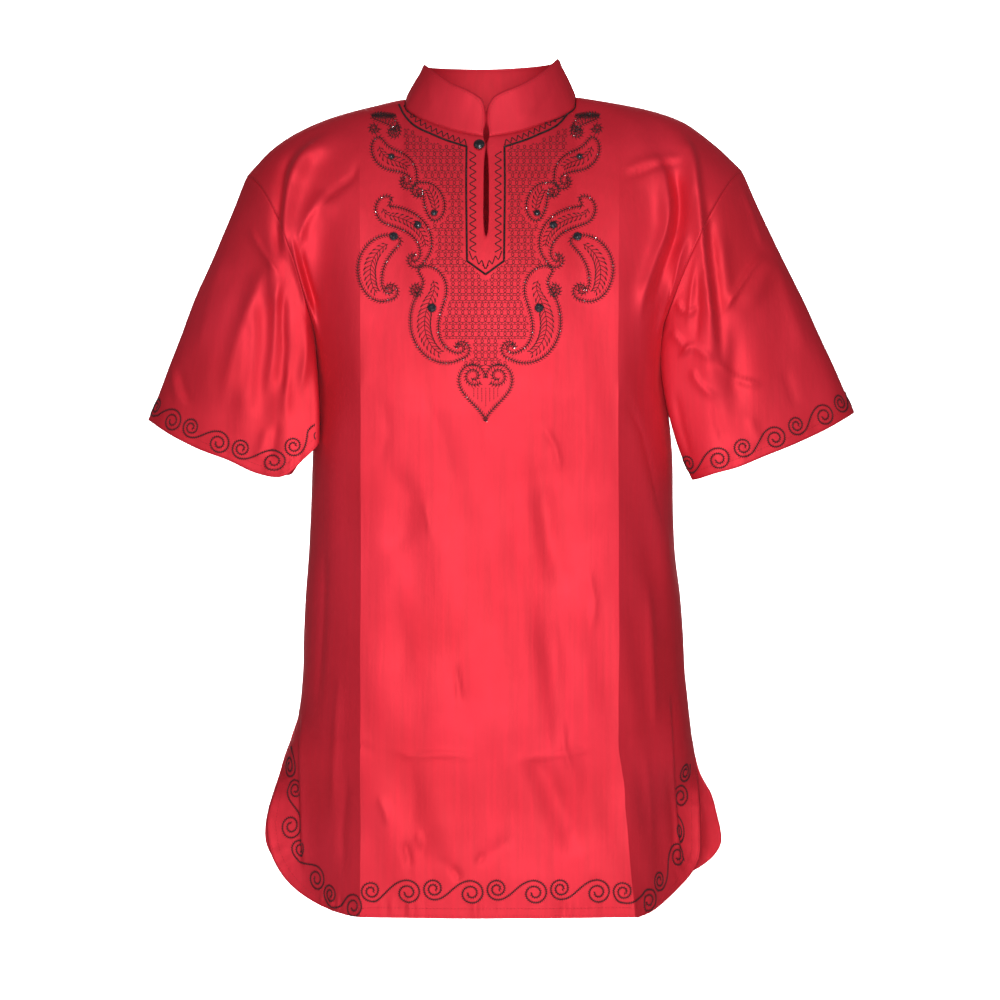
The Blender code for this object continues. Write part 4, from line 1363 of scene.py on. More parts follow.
# The cord's course round the neckline, down the slit and round its foot, and the row of
# zigzags along the neck edge
NECKLINE = (
    (399, 105), (403.5, 114), (411.5, 123.5), (420, 129.2), (431, 134), (446, 140.3), (467, 147),
)
PLACKET = ((466.6, 147), (466.2, 185), (466.6, 225), (467, 261))
PLACKET_FOOT = ((467, 261), (485.5, 274.5))
NECK_EDGE = ((404.5, 103), (414.5, 118), (430, 128), (450, 136.6), (467, 142.5))

# Leaf scrolls: step along the middle line, the hook's whole turn, how tight it ends, the
# most steps it takes and the least half width of the body
SCROLL_STEP = 0.8
HOOK_TURN = 250
HOOK_END = 0.35
HOOK_STEPS = 60
LEAST_HALF = 3.2

# The filling: first and last row, pitch of the rows, and its limits beside the slit
FILL_TOP, FILL_FOOT, FILL_PITCH = 115, 366, 3.6
CORD_SIDE, CORD_TOP, CORD_FOOT, CORD_TIP = 464.5, 147, 262, 278
PLAIN_LEFT, FILL_LEFT = 472.0, 401.0
HEART = (485.8, 364.2)
HEART_SIZE = (27.0, 57.5)


def mirrored(line):
    """The same line on the other half of the yoke."""
    other = np.array(line, float)
    other[:, 0] = MIRROR - other[:, 0]
    return other


def both_sides(lines):
    """The lines, then their mirror images."""
    return [np.asarray(line, float) for line in lines] + [mirrored(line) for line in lines]


def cord_on(surface, line, radius, lift, sides, pitch):
    """One thread laid on the cloth along a line of the front view."""
    places, normals = surface.seen_at(evenly(np.asarray(line, float), pitch))
    return strands((places + normals * lift)[None], normals[None], radius, sides)


def ticks_on(surface, starts, ends, radius, lift, sides=4):
    """Short stitches between pairs of places of the front view, arched off the cloth."""
    middles = (starts + ends) / 2
    lots = [surface.seen_at(places) for places in (starts, middles, ends)]
    rises = (lift, lift + radius * 0.9, lift)
    paths = np.stack([p + n * rise for (p, n), rise in zip(lots, rises)], 1)
    normals = np.stack([n for _, n in lots], 1)
    return strands(paths, normals, radius, sides)


def feathered(surface, lines, size):
    """Feather stitch: a core thread with pairs of small barbs."""
    parts = []
    starts, ends = [], []
    for line in lines:
        line = evenly(line, 1.4)
        parts.append(cord_on(surface, line, size * 1.3, size * 0.6, 5, 1.4))
        way, side = across(line)
        for k in range(1, len(line) - 1, 2):
            for flip in (1, -1):
                starts.append(line[k] + way[k] * 0.8)
                ends.append(line[k] - way[k] * 1.2 + side[k] * flip * 2.5)
    parts.append(ticks_on(surface, np.array(starts), np.array(ends), size * 1.15, size * 0.6))
    return parts


def leaf_scroll(u, v, heading, first, turn, second, swing, half, hook):
    """Middle line and half widths of a leaf scroll: two bends, then a hook."""
    step = SCROLL_STEP
    a, b = np.arange(0, first, step) / first, np.arange(0, second, step) / second
    way = np.concatenate([heading + turn * a, heading + turn + swing * b**1.6])
    body = len(way)
    turned_by = np.cumsum(np.degrees(step / (hook * np.linspace(1, HOOK_END, HOOK_STEPS))))
    turned_by = turned_by[turned_by < HOOK_TURN]
    way = np.radians(np.concatenate([way, way[-1] + math.copysign(1, swing) * turned_by]))
    line = np.array([u, v]) + step * np.cumsum(np.stack([np.cos(way), np.sin(way)], -1), axis=0)
    s = np.arange(body) / body
    wide = half * np.sin(math.pi * s**0.8) ** 0.7
    wide = np.maximum(wide, min(LEAST_HALF, half * 0.5) * s**0.3)
    return line, np.concatenate([wide, np.linspace(wide[-1], 0.6, len(turned_by))]), body


def scroll_outline(row):
    """The outline of a leaf scroll, round its head and down both sides of its middle line."""
    line, wide, _ = leaf_scroll(*row)
    way, side = across(line)
    one = line + side * wide[:, None]
    other = line - side * wide[:, None]
    angles = np.linspace(0, math.pi, 9)[1:-1, None]
    head = line[0] + wide[0] * (np.cos(angles) * side[0] - np.sin(angles) * way[0])
    whole = np.concatenate([other[::-1], head[::-1], one])
    for _ in range(3):
        whole[1:-1] = (whole[:-2] + 2 * whole[1:-1] + whole[2:]) / 4
    return whole


def spray(stem, reach, pairs):
    """A fern spray: its stem and a pair of bent leaves at each step, shorter to the ends."""
    line = curve_through(stem, 0.8)
    way, side = across(line)
    lines = [line]
    count = len(line)
    t = np.linspace(0, 1, 8)[:, None]
    for k in range(pairs):
        i = int((k + 0.4) / pairs * (count - 1))
        size = reach * (0.45 + 0.55 * math.sin(math.pi * (k + 0.8) / (pairs + 0.8)))
        for flip in (1, -1):
            out = way[i] * 0.5 + side[i] * flip * 0.86
            turn = way[i] * 0.86 - side[i] * flip * 0.5
            leaf = line[i] + size * (out * t + turn * 0.34 * t * t)
            back = leaf[::-1] - turn * size * 0.16 * np.sin(math.pi * t[::-1])
            lines.append(np.concatenate([leaf, back[1:4]]))
    return lines


def heart_line():
    """The heart pendant's outline by formula, from the notch round to the tip."""
    t = np.linspace(0, math.pi, 60)
    x = 16 * np.sin(t) ** 3
    y = 13 * np.cos(t) - 5 * np.cos(2 * t) - 2 * np.cos(3 * t) - np.cos(4 * t)
    x, y = x / 16 * HEART_SIZE[0], (12 - y) / 29 * HEART_SIZE[1]
    return np.stack([HEART[0] - x, HEART[1] + y], -1)


def loops(start, end, v, height, pitch):
    """A row of small loops, as a machine sews them."""
    count = int((end - start) / pitch)
    if count < 1:
        return None
    t = np.linspace(0, count, count * 12 + 1)
    first = start + (end - start - count * pitch) / 2
    u = first + pitch * t + pitch * 0.42 * np.sin(2 * math.pi * t)
    return np.stack([u, v + height * np.cos(2 * math.pi * t)], -1)


def yoke_outlines(surface):
    """The outlines of the scrolls, curls and heart in feather stitch."""
    lines = [evenly(scroll_outline(row), 1.4) for row in SCROLLS]
    for u, v, radius, start, turns in CURLS:
        lines.append(spiral((u, v), radius, radius * 0.25, start, turns))
    lines += [heart_line(), spiral((473.5, 376), 10, 3, 40, 1.3)]
    return feathered(surface, both_sides(lines), 0.34)


def yoke_sprays(surface):
    """The fern spray in each scroll, and the top leaf's satin stitches."""
    lines = []
    for row in SCROLLS:
        line, _, body = leaf_scroll(*row)
        stem = line[int(body * 0.16) : int(body * 0.84) : 6]
        lines += spray(stem, row[7] * 0.72, len(stem))
    # Slanted satin stitches fill the top leaf
    satin = []
    for k in range(19):
        u = 371.5 + k * 1.35
        half = 3.4 * math.sqrt(max(0.05, 1 - ((u - 384) / 14) ** 2))
        satin += [(u - 1.0, 115.2 - half), (u + 1.0, 115.6 + half * 1.1)]
    lines.append(np.array(satin))
    return [cord_on(surface, line, 0.31, 0.2, 4, 1.1) for line in both_sides(lines)]


def yoke_fill(surface):
    """Rows of small loops between the scrolls, in one thin thread."""
    parts = []
    outlines = np.concatenate([scroll_outline(row) for row in SCROLLS])
    neck = np.array(NECKLINE, float)
    for k, v in enumerate(np.arange(FILL_TOP, FILL_FOOT, FILL_PITCH)):
        beside = outlines[np.abs(outlines[:, 1] - v) < 3, 0]
        low = max(FILL_LEFT, beside.max() + 1) if len(beside) else PLAIN_LEFT
        high = CORD_SIDE if v < CORD_FOOT else MIRROR / 2
        if v < CORD_TOP:
            high = min(CORD_SIDE, np.interp(v - 5, neck[:, 1], neck[:, 0]) - 2)
        if CORD_FOOT <= v < CORD_TIP:
            high = 467 + (v - CORD_FOOT) * 1.15
        height, pitch = (2.3, 6.5) if k % 2 else (0.7, 3.25)
        split = v < CORD_TIP
        line = loops(low + 1.5, high if split else MIRROR - low - 1.5, v, height, pitch)
        if line is not None:
            for row in [line, mirrored(line)] if split else [line]:
                parts.append(cord_on(surface, row, 0.3 if k % 2 else 0.2, 0.14, 4, 0.85))
    # Short stitches hang in the heart
    for j in range(7):
        u = 473.8 + j * 4
        drop = 405 - abs(j - 3) * 3.2
        for v in np.arange(388, drop, 2.4):
            dot = np.array([(u, v), (u, v + 1.4)])
            parts.append(cord_on(surface, dot, 0.42, 0.2, 4, 0.7))
    return parts


def neck_cord(surface):
    """The twisted black cord round the neckline and down both sides of the slit."""
    parts = []
    for line in both_sides((curve_through(NECKLINE, 0.8), curve_through(PLACKET, 0.8),
                            np.array(PLACKET_FOOT, float))):
        line = evenly(line, 0.75)
        parts.append(cord_on(surface, line, 0.85, 0.25, 7, 0.75))
        way, side = across(line)
        starts = line + side * 1.05 - way * 0.4
        ends = line - side * 1.05 + way * 0.4
        parts.append(ticks_on(surface, starts, ends, 0.38, 0.75))
    return parts


# The zigzags beside the slit: first and last turn, pitch, and where they turn
ZIGZAG_TOP, ZIGZAG_END, ZIGZAG_PITCH = 152, 256, 4.0
ZIGZAG_IN, ZIGZAG_OUT = 475.6, 470.0


def neck_zigzags(surface):
    """Zigzag stitches inside the cord, with a knot at each turn."""
    lines = []
    v = np.arange(ZIGZAG_TOP, ZIGZAG_END, ZIGZAG_PITCH)
    bends = np.stack([np.where(np.arange(len(v)) % 2, ZIGZAG_IN, ZIGZAG_OUT), v], -1)
    lines.append(curve_through(bends, 0.7))
    foot = evenly(np.array(PLACKET_FOOT, float) + np.array([2.5, -6.5]), 3.6)
    foot[:, 1] += np.where(np.arange(len(foot)) % 2, 2.6, -2.6)
    lines.append(curve_through(foot, 0.7))
    row = curve_through(NECK_EDGE, 3.1)
    side = across(row)[1]
    wave = row + side * np.where(np.arange(len(row)) % 2, 2.4, -1.8)[:, None]
    lines.append(curve_through(wave, 0.7))
    parts = [cord_on(surface, line, 0.5, 0.3, 5, 0.9) for line in both_sides(lines)]
    for places in both_sides([bends, foot, wave]):
        shift = np.array([[0.6, 0.35]])
        parts.append(ticks_on(surface, places - shift, places + shift, 0.62, 0.35))
    return parts


# The running scroll's unit: how far apart its two spirals stand
SPIRALS_APART = 37.4

# Its rope stitch: radius of the core, half length, radius and lift of the stitches, then the
# longest gaps that a core and a stitch may bridge
CORE_RADIUS = 0.5
ROPE_HALF, ROPE_RADIUS, ROPE_LIFT = 1.4, 0.42, 0.15
CORE_GAP, ROPE_GAP = 9, 5


def scroll_unit():
    """One unit of the running scroll: a small spiral, a rising tail and a large spiral."""
    small = spiral((0.0, 0.0), 11.0, 2.6, 270, -1.85)[::-1]
    small[:, 0] *= 1.02
    large = spiral((SPIRALS_APART, -4.3), 12.6, 2.8, 90, -1.8)
    large[:, 0] += (large[:, 0] - SPIRALS_APART) * 0.07
    a, b = small[-1], np.array([small[-1][0] + 15, small[-1][1]])
    d, c = large[0], np.array([large[0][0] - 17, large[0][1]])
    tail = bezier(a, b, c, d, np.linspace(0, 1, 24))
    return np.concatenate([small, tail[1:-1], large])


def scroll_border(surface, guide, pitch, scale, phase, closed):
    """The running scroll in rope stitch along a guide."""
    unit = scroll_unit() * scale
    length = guide["lengths"][-1]
    if closed:
        count = max(1, int(round(length / pitch)))
        pitch = length / count
        places = [phase + k * pitch for k in range(count)]
    else:
        first = phase - math.floor((phase - 12) / pitch) * pitch
        places = list(np.arange(first, length - 47 * scale, pitch))
    units = [(place, unit) for place in places]
    if not closed:
        # A lone spiral where there is room for one before the first unit or after the last
        if places[0] - pitch + SPIRALS_APART * scale > 13:
            units.append((places[0] - pitch, unit[unit[:, 0] > 16 * scale]))
        if places[-1] + pitch < length - 12:
            first_half = unit[: len(unit) // 2]
            units.append((places[-1] + pitch, first_half[first_half[:, 0] < 12 * scale]))
    cores, starts, ends = [], [], []
    for place, shape in units:
        flat = evenly(shape + np.array([place, 0]), 1.0)
        way, side = across(flat)
        cores.append(flat)
        starts.append(flat - side * ROPE_HALF - way * 0.5)
        ends.append(flat + side * ROPE_HALF + way * 0.5)

    def wrap(flat):
        """Places past the end of a closed guide, counted from its start again."""
        if closed:
            flat = flat.copy()
            flat[:, 0] = np.mod(flat[:, 0], length)
        return flat

    parts = []
    for flat in cores:
        p, n = laid_on(surface, guide, wrap(evenly(flat, 1.6)))
        gap = np.linalg.norm(np.diff(p, axis=0), axis=1).max()
        if gap < CORE_GAP:
            parts.append(strands((p + n * ROPE_LIFT)[None], n[None], CORE_RADIUS, 4))
    a, b = np.concatenate(starts)[::2], np.concatenate(ends)[::2]
    pa, na = laid_on(surface, guide, wrap(a))
    pb, nb = laid_on(surface, guide, wrap(b))
    near = np.linalg.norm(pa - pb, axis=1) < ROPE_GAP
    pa, na, pb, nb = pa[near], na[near], pb[near], nb[near]
    middle = (pa + pb) / 2 + (na + nb) / 2 * 0.55
    paths = np.stack([pa + na * ROPE_LIFT, middle, pb + nb * ROPE_LIFT], 1)
    parts.append(strands(paths, np.stack([na, (na + nb) / 2, nb], 1), ROPE_RADIUS, 4))
    return parts


def running_stitches(surface, guide, length, gap, radius):
    """A line of straight stitches along a guide."""
    at = np.arange(2, guide["lengths"][-1] - length, length + gap)
    lots = [
        laid_on(surface, guide, np.stack([at + shift, 0 * at], -1))
        for shift in (0, length / 2, length)
    ]
    lifts = (-0.1, radius * 0.9, -0.1)
    paths = np.stack([p + n * lift for (p, n), lift in zip(lots, lifts)], 1)
    return strands(paths, np.stack([n for _, n in lots], 1), radius, 4)


def ring_faces(rings, sides):
    """Faces round a stack of rings, then one over the last ring and one under the first."""
    faces = []
    for low in range(0, (rings - 1) * sides, sides):
        for k in range(sides):
            n = (k + 1) % sides
            faces.append([low + k, low + n, low + sides + n, low + sides + k])
    faces.append(list(range((rings - 1) * sides, rings * sides)))
    faces.append(list(reversed(range(sides))))
    return faces


def cut_stone(place, normal, radius, facets=9):
    """A domed stone with cut faces: rings of corners up to a small table."""
    other = np.cross(normal, [0.3, 0.2, 1.0])
    other /= np.linalg.norm(other)
    third = np.cross(normal, other)
    rings = ((1.0, -0.3, 0.0), (1.0, 0.25, 0.0), (0.78, 0.62, 0.5), (0.38, 0.86, 0.0))
    vertices = []
    for share, height, turn in rings:
        for k in range(facets):
            a = 2 * math.pi * (k + turn) / facets
            spoke = math.cos(a) * other + math.sin(a) * third
            vertices.append(place + radius * (share * spoke + height * 0.8 * normal))
    return np.array(vertices), ring_faces(len(rings), facets)


def stone_rings(surface):
    """Short stitches round each stone, which hold it down."""
    starts, ends = [], []
    for u, v, radius in STONES:
        for k in range(16):
            a = 2 * math.pi * k / 16
            way = np.array([math.cos(a), math.sin(a)])
            starts.append(np.array([u, v]) + way * radius * 0.8)
            ends.append(np.array([u, v]) + way * (radius + 0.9))
    starts, ends = np.array(starts), np.array(ends)
    return [
        ticks_on(surface, starts, ends, 0.33, 0.3),
        ticks_on(surface, mirrored(starts), mirrored(ends), 0.33, 0.3),
    ]


LAID = {}


def shirt():
    """The shirt's cloth pieces and their outer faces, laid out once."""
    if not LAID:
        front, back = panel(True), panel(False)
        LAID.update(front=front, back=back)
        LAID["right"] = sleeve(front, back, RIGHT_CUFF, RIGHT_FOLDS, RIGHT_CREASES, False)
        LAID["left"] = sleeve(front, back, LEFT_CUFF, LEFT_FOLDS, LEFT_CREASES, True)
        LAID["collar"] = collar(front)
        for key in ("front", "right", "left"):
            LAID[key]["points"] = draped(LAID[key]["points"])
        for key in list(LAID):
            SURFACES[key] = Surface(LAID[key])
    return LAID, SURFACES


def sew_piece(key, node, name, surface):
    """One cloth piece in place of its solid."""
    piece = shirt()[0][key]
    points, faces = skin(piece["points"], piece["faces"], piece["normals"], piece["thickness"])
    made = add_piece(name, points, faces, finishes()[surface])
    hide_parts(node)
    return made


def sharpen(made, columns):
    """Marks the pressed creases as sharp edges."""
    pairs = set()
    for column in columns:
        pairs.update(zip(column[:-1].tolist(), column[1:].tolist()))
    edges = made.data.edges
    ends = np.empty(len(edges) * 2, int)
    edges.foreach_get("vertices", ends)
    sharp = [(a, b) in pairs or (b, a) in pairs for a, b in ends.reshape(-1, 2).tolist()]
    marks = made.data.attributes.new("sharp_edge", "BOOLEAN", "EDGE")
    marks.data.foreach_set("value", sharp)


def edge_guides(key, inset):
    """Guides inset from the free edges of a piece, all running the same way round."""
    pieces, surfaces = shirt()
    piece, surface = pieces[key], surfaces[key]
    edge = np.asarray(piece["edge"])
    if key in ("back", "right"):
        edge = edge[::-1]
    return surface, guide_along(surface, edge, inset, key in ("left", "right"))


def a_length(name, description, default, low, high):
    """A length among the settings, in metres."""
    return FloatProperty(
        name=name, description=description, default=default, min=low, max=high, unit="LENGTH",
    )


def a_share(name, description, default, low=0.0):
    """A share among the settings."""
    return FloatProperty(
        name=name, description=description, default=default, min=low, max=1.0, subtype="FACTOR",
    )


def a_colour(name, description, default):
    """A colour among the settings."""
    return FloatVectorProperty(
        name=name, description=description, default=default, min=0, max=1, subtype="COLOR",
    )


def a_power(name, description, default):
    """A lamp's power among the settings."""
    return FloatProperty(name=name, description=description, default=default, unit="POWER")


class ShirtSizes(bpy.types.PropertyGroup):
    """Sizes of the cloth's finish and of its stitches."""

    polish: a_share("Roughness", "Roughness of the polished cotton", 0.62, 0.1)
    satin: a_share("Satin", "Share of the light that the floats throw back red", 0.45)
    gloss: a_share("Gloss", "Strength of the cotton's white shine", 0.6)
    sheen: a_share("Sheen", "Soft shine of the cotton's nap", 0.05)
    weave_pitch: a_length("Weave pitch", "Distance between the ribs", 0.0005, 0.0001, 0.005)
    scroll_pitch: a_length("Scroll pitch", "Length of one unit of the scroll", 0.0608, 0.03, 0.12)
    hem_border: a_length("Hem border", "From scroll's middle to hem", 0.0285, 0.015, 0.06)
    cuff_border: a_length("Cuff border", "From scroll's middle to cuff", 0.0165, 0.01, 0.04)
    stitch: a_length("Stitch", "Length of a stitch of the seams", 0.0026, 0.001, 0.006)
    stitch_thread: a_length("Stitch thread", "Radius of the seams' thread", 0.00022, 0.0001, 0.001)
    button_width: a_length("Button", "Width of the button", 0.011, 0.006, 0.02)


class ShirtColours(bpy.types.PropertyGroup):
    """Colours of the shirt."""

    cloth: a_colour("Cloth", "Colour of the cotton", (0.64, 0.018, 0.036))
    thread: a_colour("Embroidery", "Colour of the embroidery", (0.010, 0.004, 0.005))
    border_thread: a_colour("Border thread", "Colour of the borders", (0.048, 0.004, 0.009))
    fine_thread: a_colour("Fine thread", "Colour of the filling", (0.075, 0.003, 0.008))
    red_thread: a_colour("Red thread", "Colour of the seams and the loop", (0.34, 0.008, 0.018))


class ShirtStage(bpy.types.PropertyGroup):
    """The stand-in studio."""

    floor_level: FloatProperty(
        name="Floor", description="Height of the floor", default=-1.45, unit="LENGTH",
    )
    key_light: a_power("Key light", "Power of the lamp by the camera", 105.0)
    fill_light: a_power("Fill light", "Power of the lamps at the sides", 6.0)
    backdrop_light: a_power("Backdrop light", "Power of the lamps on the backdrop", 110.0)
    air: FloatProperty(
        name="Ambient", description="Strength of the light from all round", default=0.10,
    )


class SHIRT_OT_panels(bpy.types.Operator):
    """Lay out the front with its neck slit and the back with its vents"""

    bl_idname = "shirt.panels"
    bl_label = "Front and Back"

    def execute(self, context):
        made = sew_piece("front", "front_panel", "front_cloth", "red_cotton_cloth")
        sharpen(made, LAID["front"]["creases"])
        sew_piece("back", "back_panel", "back_cloth", "red_cotton_cloth")
        return {"FINISHED"}


class SHIRT_OT_sleeves(bpy.types.Operator):
    """Set the two short sleeves into the armholes"""

    bl_idname = "shirt.sleeves"
    bl_label = "Sleeves"

    def execute(self, context):
        sew_piece("right", "sleeve_right", "sleeve_right_cloth", "red_cotton_cloth")
        sew_piece("left", "sleeve_left", "sleeve_left_cloth", "red_cotton_cloth")
        return {"FINISHED"}


class SHIRT_OT_collar(bpy.types.Operator):
    """Stand the collar on the neck edge"""

    bl_idname = "shirt.collar"
    bl_label = "Collar"

    def execute(self, context):
        sew_piece("collar", "collar", "collar_cloth", "red_collar_cloth")
        return {"FINISHED"}


def turned(profile, centre, out, sides=40):
    """A round body from radius and height pairs, standing along a way out."""
    up = np.array([0.0, 0.0, 1.0])
    one = np.cross(out, up)
    one /= np.linalg.norm(one)
    two = np.cross(out, one)
    vertices = []
    for radius, height in profile:
        for k in range(sides):
            a = 2 * math.pi * k / sides
            spoke = math.cos(a) * one + math.sin(a) * two
            vertices.append(centre + radius * spoke + height * out)
    return np.array(vertices), ring_faces(len(profile), sides)


def frame_at(share, height):
    """A place on the front's outer face, with its across, up and outward directions."""
    here = panel_point(share, height, True)
    way = panel_point(share + 0.004, height, True) - here
    up = panel_point(share, height + 0.004, True) - here
    way /= np.linalg.norm(way)
    out = np.cross(way, up)
    out /= np.linalg.norm(out)
    return here, way, np.cross(out, way), out


# The fastening: the button's place on the front (share and height), then the loop's steps,
# start and turn in degrees, height and the drop at its ends, radius and the flare of its ends
BUTTON_PLACE = (-0.018, 1.94)
LOOP_STEPS = 90
LOOP_START, LOOP_TURN = -52, 324
LOOP_RISE, LOOP_DROP = 1.66, 1.1
LOOP_RADIUS, LOOP_FLARE = 3.6, 0.9

# The loop's plies: how many, turns about each other, distance from the middle, radius
PLIES, PLY_TURNS, PLY_OFFSET, PLY_RADIUS = 3, 9, 0.42, 0.5


class SHIRT_OT_fastening(bpy.types.Operator):
    """Fasten the shank button in its cord loop"""

    bl_idname = "shirt.fastening"
    bl_label = "Button and Loop"

    def execute(self, context):
        sizes = context.scene.shirt_sizes
        here, way, up, out = frame_at(*BUTTON_PLACE)
        r = sizes.button_width * 500
        profile = (
            (2.0, 0.5), (2.0, 2.9), (r - 0.6, 2.9), (r - 0.15, 3.1), (r, 3.5), (r - 0.06, 3.9),
            (r - 0.35, 4.3), (r - 0.8, 4.45), (r - 1.0, 4.4), (r - 1.3, 4.75), (r - 2.1, 5.3),
            (r - 3.0, 5.65), (r - 4.0, 5.85), (r - 5.0, 5.92),
        )
        points, faces = turned(profile, here, out)
        made = add_piece("dark_button", points, faces, finishes()["jet_button"])
        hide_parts("button")
        # Three thin cords laid round each other make the loop
        steps = np.linspace(0, 1, LOOP_STEPS)
        a = np.radians(LOOP_START + steps * LOOP_TURN)
        rise = LOOP_RISE - LOOP_DROP * (eased(np.abs(steps - 0.5), 0.42, 0.5))
        spread = LOOP_RADIUS + LOOP_FLARE * eased(steps, 0.9, 1.0)
        spread = spread + LOOP_FLARE * (1 - eased(steps, 0.0, 0.1))
        side = np.cos(a)[:, None] * way + np.sin(a)[:, None] * up
        ring = here + spread[:, None] * side
        ring = ring + rise[:, None] * out
        parts = []
        for k in range(PLIES):
            turn = 2 * math.pi * (steps * PLY_TURNS + k / PLIES)
            ply = np.cos(turn)[:, None] * side + np.sin(turn)[:, None] * out
            normals = np.broadcast_to(side, (1, LOOP_STEPS, 3))
            parts.append(strands((ring + PLY_OFFSET * ply)[None], normals, PLY_RADIUS, 7))
        points, faces = joined(parts)
        made = add_piece("loop_cord", points, faces, finishes()["red_loop_cord"])
        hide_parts("button_loop")
        return {"FINISHED"}


class SHIRT_OT_seams(bpy.types.Operator):
    """Sew the hems, vents, cuffs, armholes and the collar's foot"""

    bl_idname = "shirt.seams"
    bl_label = "Seams"

    def execute(self, context):
        sizes = context.scene.shirt_sizes
        length, radius = sizes.stitch / MM, sizes.stitch_thread / MM
        rows = []
        for key, insets in (("front", (2.6, 9.5)), ("back", (2.6, 9.5)),
                            ("right", (2.2, 8.0)), ("left", (2.2, 8.0))):
            rows += [edge_guides(key, inset) for inset in insets]
        pieces, surfaces = shirt()
        for key in ("front", "back"):
            for side in (0, 1):
                line = pieces[key]["arms"][side]
                line = line[::-1] if (side == 0) == (key == "front") else line
                rows.append((surfaces[key], guide_along(surfaces[key], line, 2.0)))
        surface = surfaces["collar"]
        rows.append((surface, guide_along(surface, pieces["collar"]["foot"], 1.6)))
        rows.append((surface, guide_along(surface, pieces["collar"]["edge"][::-1], 3.0)))
        parts = [
            running_stitches(surface, guide, length, length * 0.3, radius)
            for surface, guide in rows
        ]
        points, faces = joined(parts)
        add_piece("seam_stitches", points, faces, finishes()["red_thread"])
        return {"FINISHED"}


class SHIRT_OT_yoke(bpy.types.Operator):
    """Embroider the yoke round the neck slit"""

    bl_idname = "shirt.yoke"
    bl_label = "Yoke Embroidery"

    def execute(self, context):
        surface = shirt()[1]["front"]
        lots = (
            ("yoke_scrolls", yoke_outlines(surface) + stone_rings(surface), "black_thread"),
            ("yoke_leaves", yoke_sprays(surface), "black_thread"),
            ("yoke_filling", yoke_fill(surface), "fine_thread"),
            ("yoke_cord", neck_cord(surface), "black_cord"),
            ("yoke_zigzags", neck_zigzags(surface), "black_thread"),
        )
        for name, parts, finish in lots:
            points, faces = joined(parts)
            add_piece(name, points, faces, finishes()[finish])
        return {"FINISHED"}


# The borders: scale of the unit on hems and cuffs, pitch on the cuffs, and where each starts
HEM_SCALE, CUFF_SCALE, CUFF_PITCH = 0.958, 0.9, 58.0
HEM_START_X = 11
CUFF_STARTS = (("right", 12.0), ("left", -12.0))


class SHIRT_OT_borders(bpy.types.Operator):
    """Embroider the running scroll above the hems, up the vents and round the cuffs"""

    bl_idname = "shirt.borders"
    bl_label = "Scroll Borders"

    def execute(self, context):
        sizes = context.scene.shirt_sizes
        pitch = sizes.scroll_pitch / MM
        for key in ("front", "back"):
            surface, guide = edge_guides(key, sizes.hem_border / MM)
            # A small spiral sits just left of the middle of the hem
            low = guide["line"][:, 2] < -700
            away = np.abs(guide["line"][:, 0] - HEM_START_X)
            place = guide["lengths"][int(np.argmin(np.where(low, away, 1e9)))]
            parts = scroll_border(surface, guide, pitch, HEM_SCALE, place, False)
            points, faces = joined(parts)
            add_piece(f"{key}_scrolls", points, faces, finishes()["border_thread"])
        for key, phase in CUFF_STARTS:
            surface, guide = edge_guides(key, sizes.cuff_border / MM)
            parts = scroll_border(surface, guide, CUFF_PITCH, CUFF_SCALE, phase, True)
            points, faces = joined(parts)
            add_piece(f"cuff_{key}_scrolls", points, faces, finishes()["border_thread"])
        return {"FINISHED"}


class SHIRT_OT_stones(bpy.types.Operator):
    """Set the dark stones and the glitter on the embroidery"""

    bl_idname = "shirt.stones"
    bl_label = "Stones and Glitter"

    def execute(self, context):
        surface = shirt()[1]["front"]
        places = np.array([(u, v) for u, v, _ in STONES])
        sizes = [radius for _, _, radius in STONES]
        places = np.concatenate([places, mirrored(places)])
        points, normals = surface.seen_at(places)
        parts = [cut_stone(p, n, r) for p, n, r in zip(points, normals, sizes + sizes)]
        vertices, faces = joined(parts)
        add_piece("dark_stones", vertices, faces, finishes()["jet_stone"],
                  smooth=False)
        dice = np.random.default_rng(7)
        lines = both_sides([scroll_outline(row) for row in SCROLLS]) + [heart_line()]
        spots = np.concatenate([evenly(line, 17.0) for line in lines])
        spots = spots[dice.uniform(size=len(spots)) < 0.55]
        spots = spots + dice.normal(0, 0.5, spots.shape)
        points, normals = surface.seen_at(spots)
        parts = []
        for p, n in zip(points, normals):
            tilted = n + dice.normal(0, 0.3, 3)
            tilted /= np.linalg.norm(tilted)
            parts.append(cut_stone(p + n * 0.5, tilted, 0.55, 6))
        vertices, faces = joined(parts)
        add_piece("glitter_dots", vertices, faces, finishes()["glitter"],
                  smooth=False)
        return {"FINISHED"}


# The studio in metres: the camera's lens and sensor in millimetres, then the paper's front,
# where it starts to rise, how round it rises, its back, top and half width
LENS, SENSOR = 108.0, 36.0
PAPER_FRONT, PAPER_BEND, PAPER_ROUND, PAPER_BACK = -4.0, 3.1, 0.9, 4.0
PAPER_TOP, PAPER_HALF = 3.6, 1.5
BEND_STEPS = 12


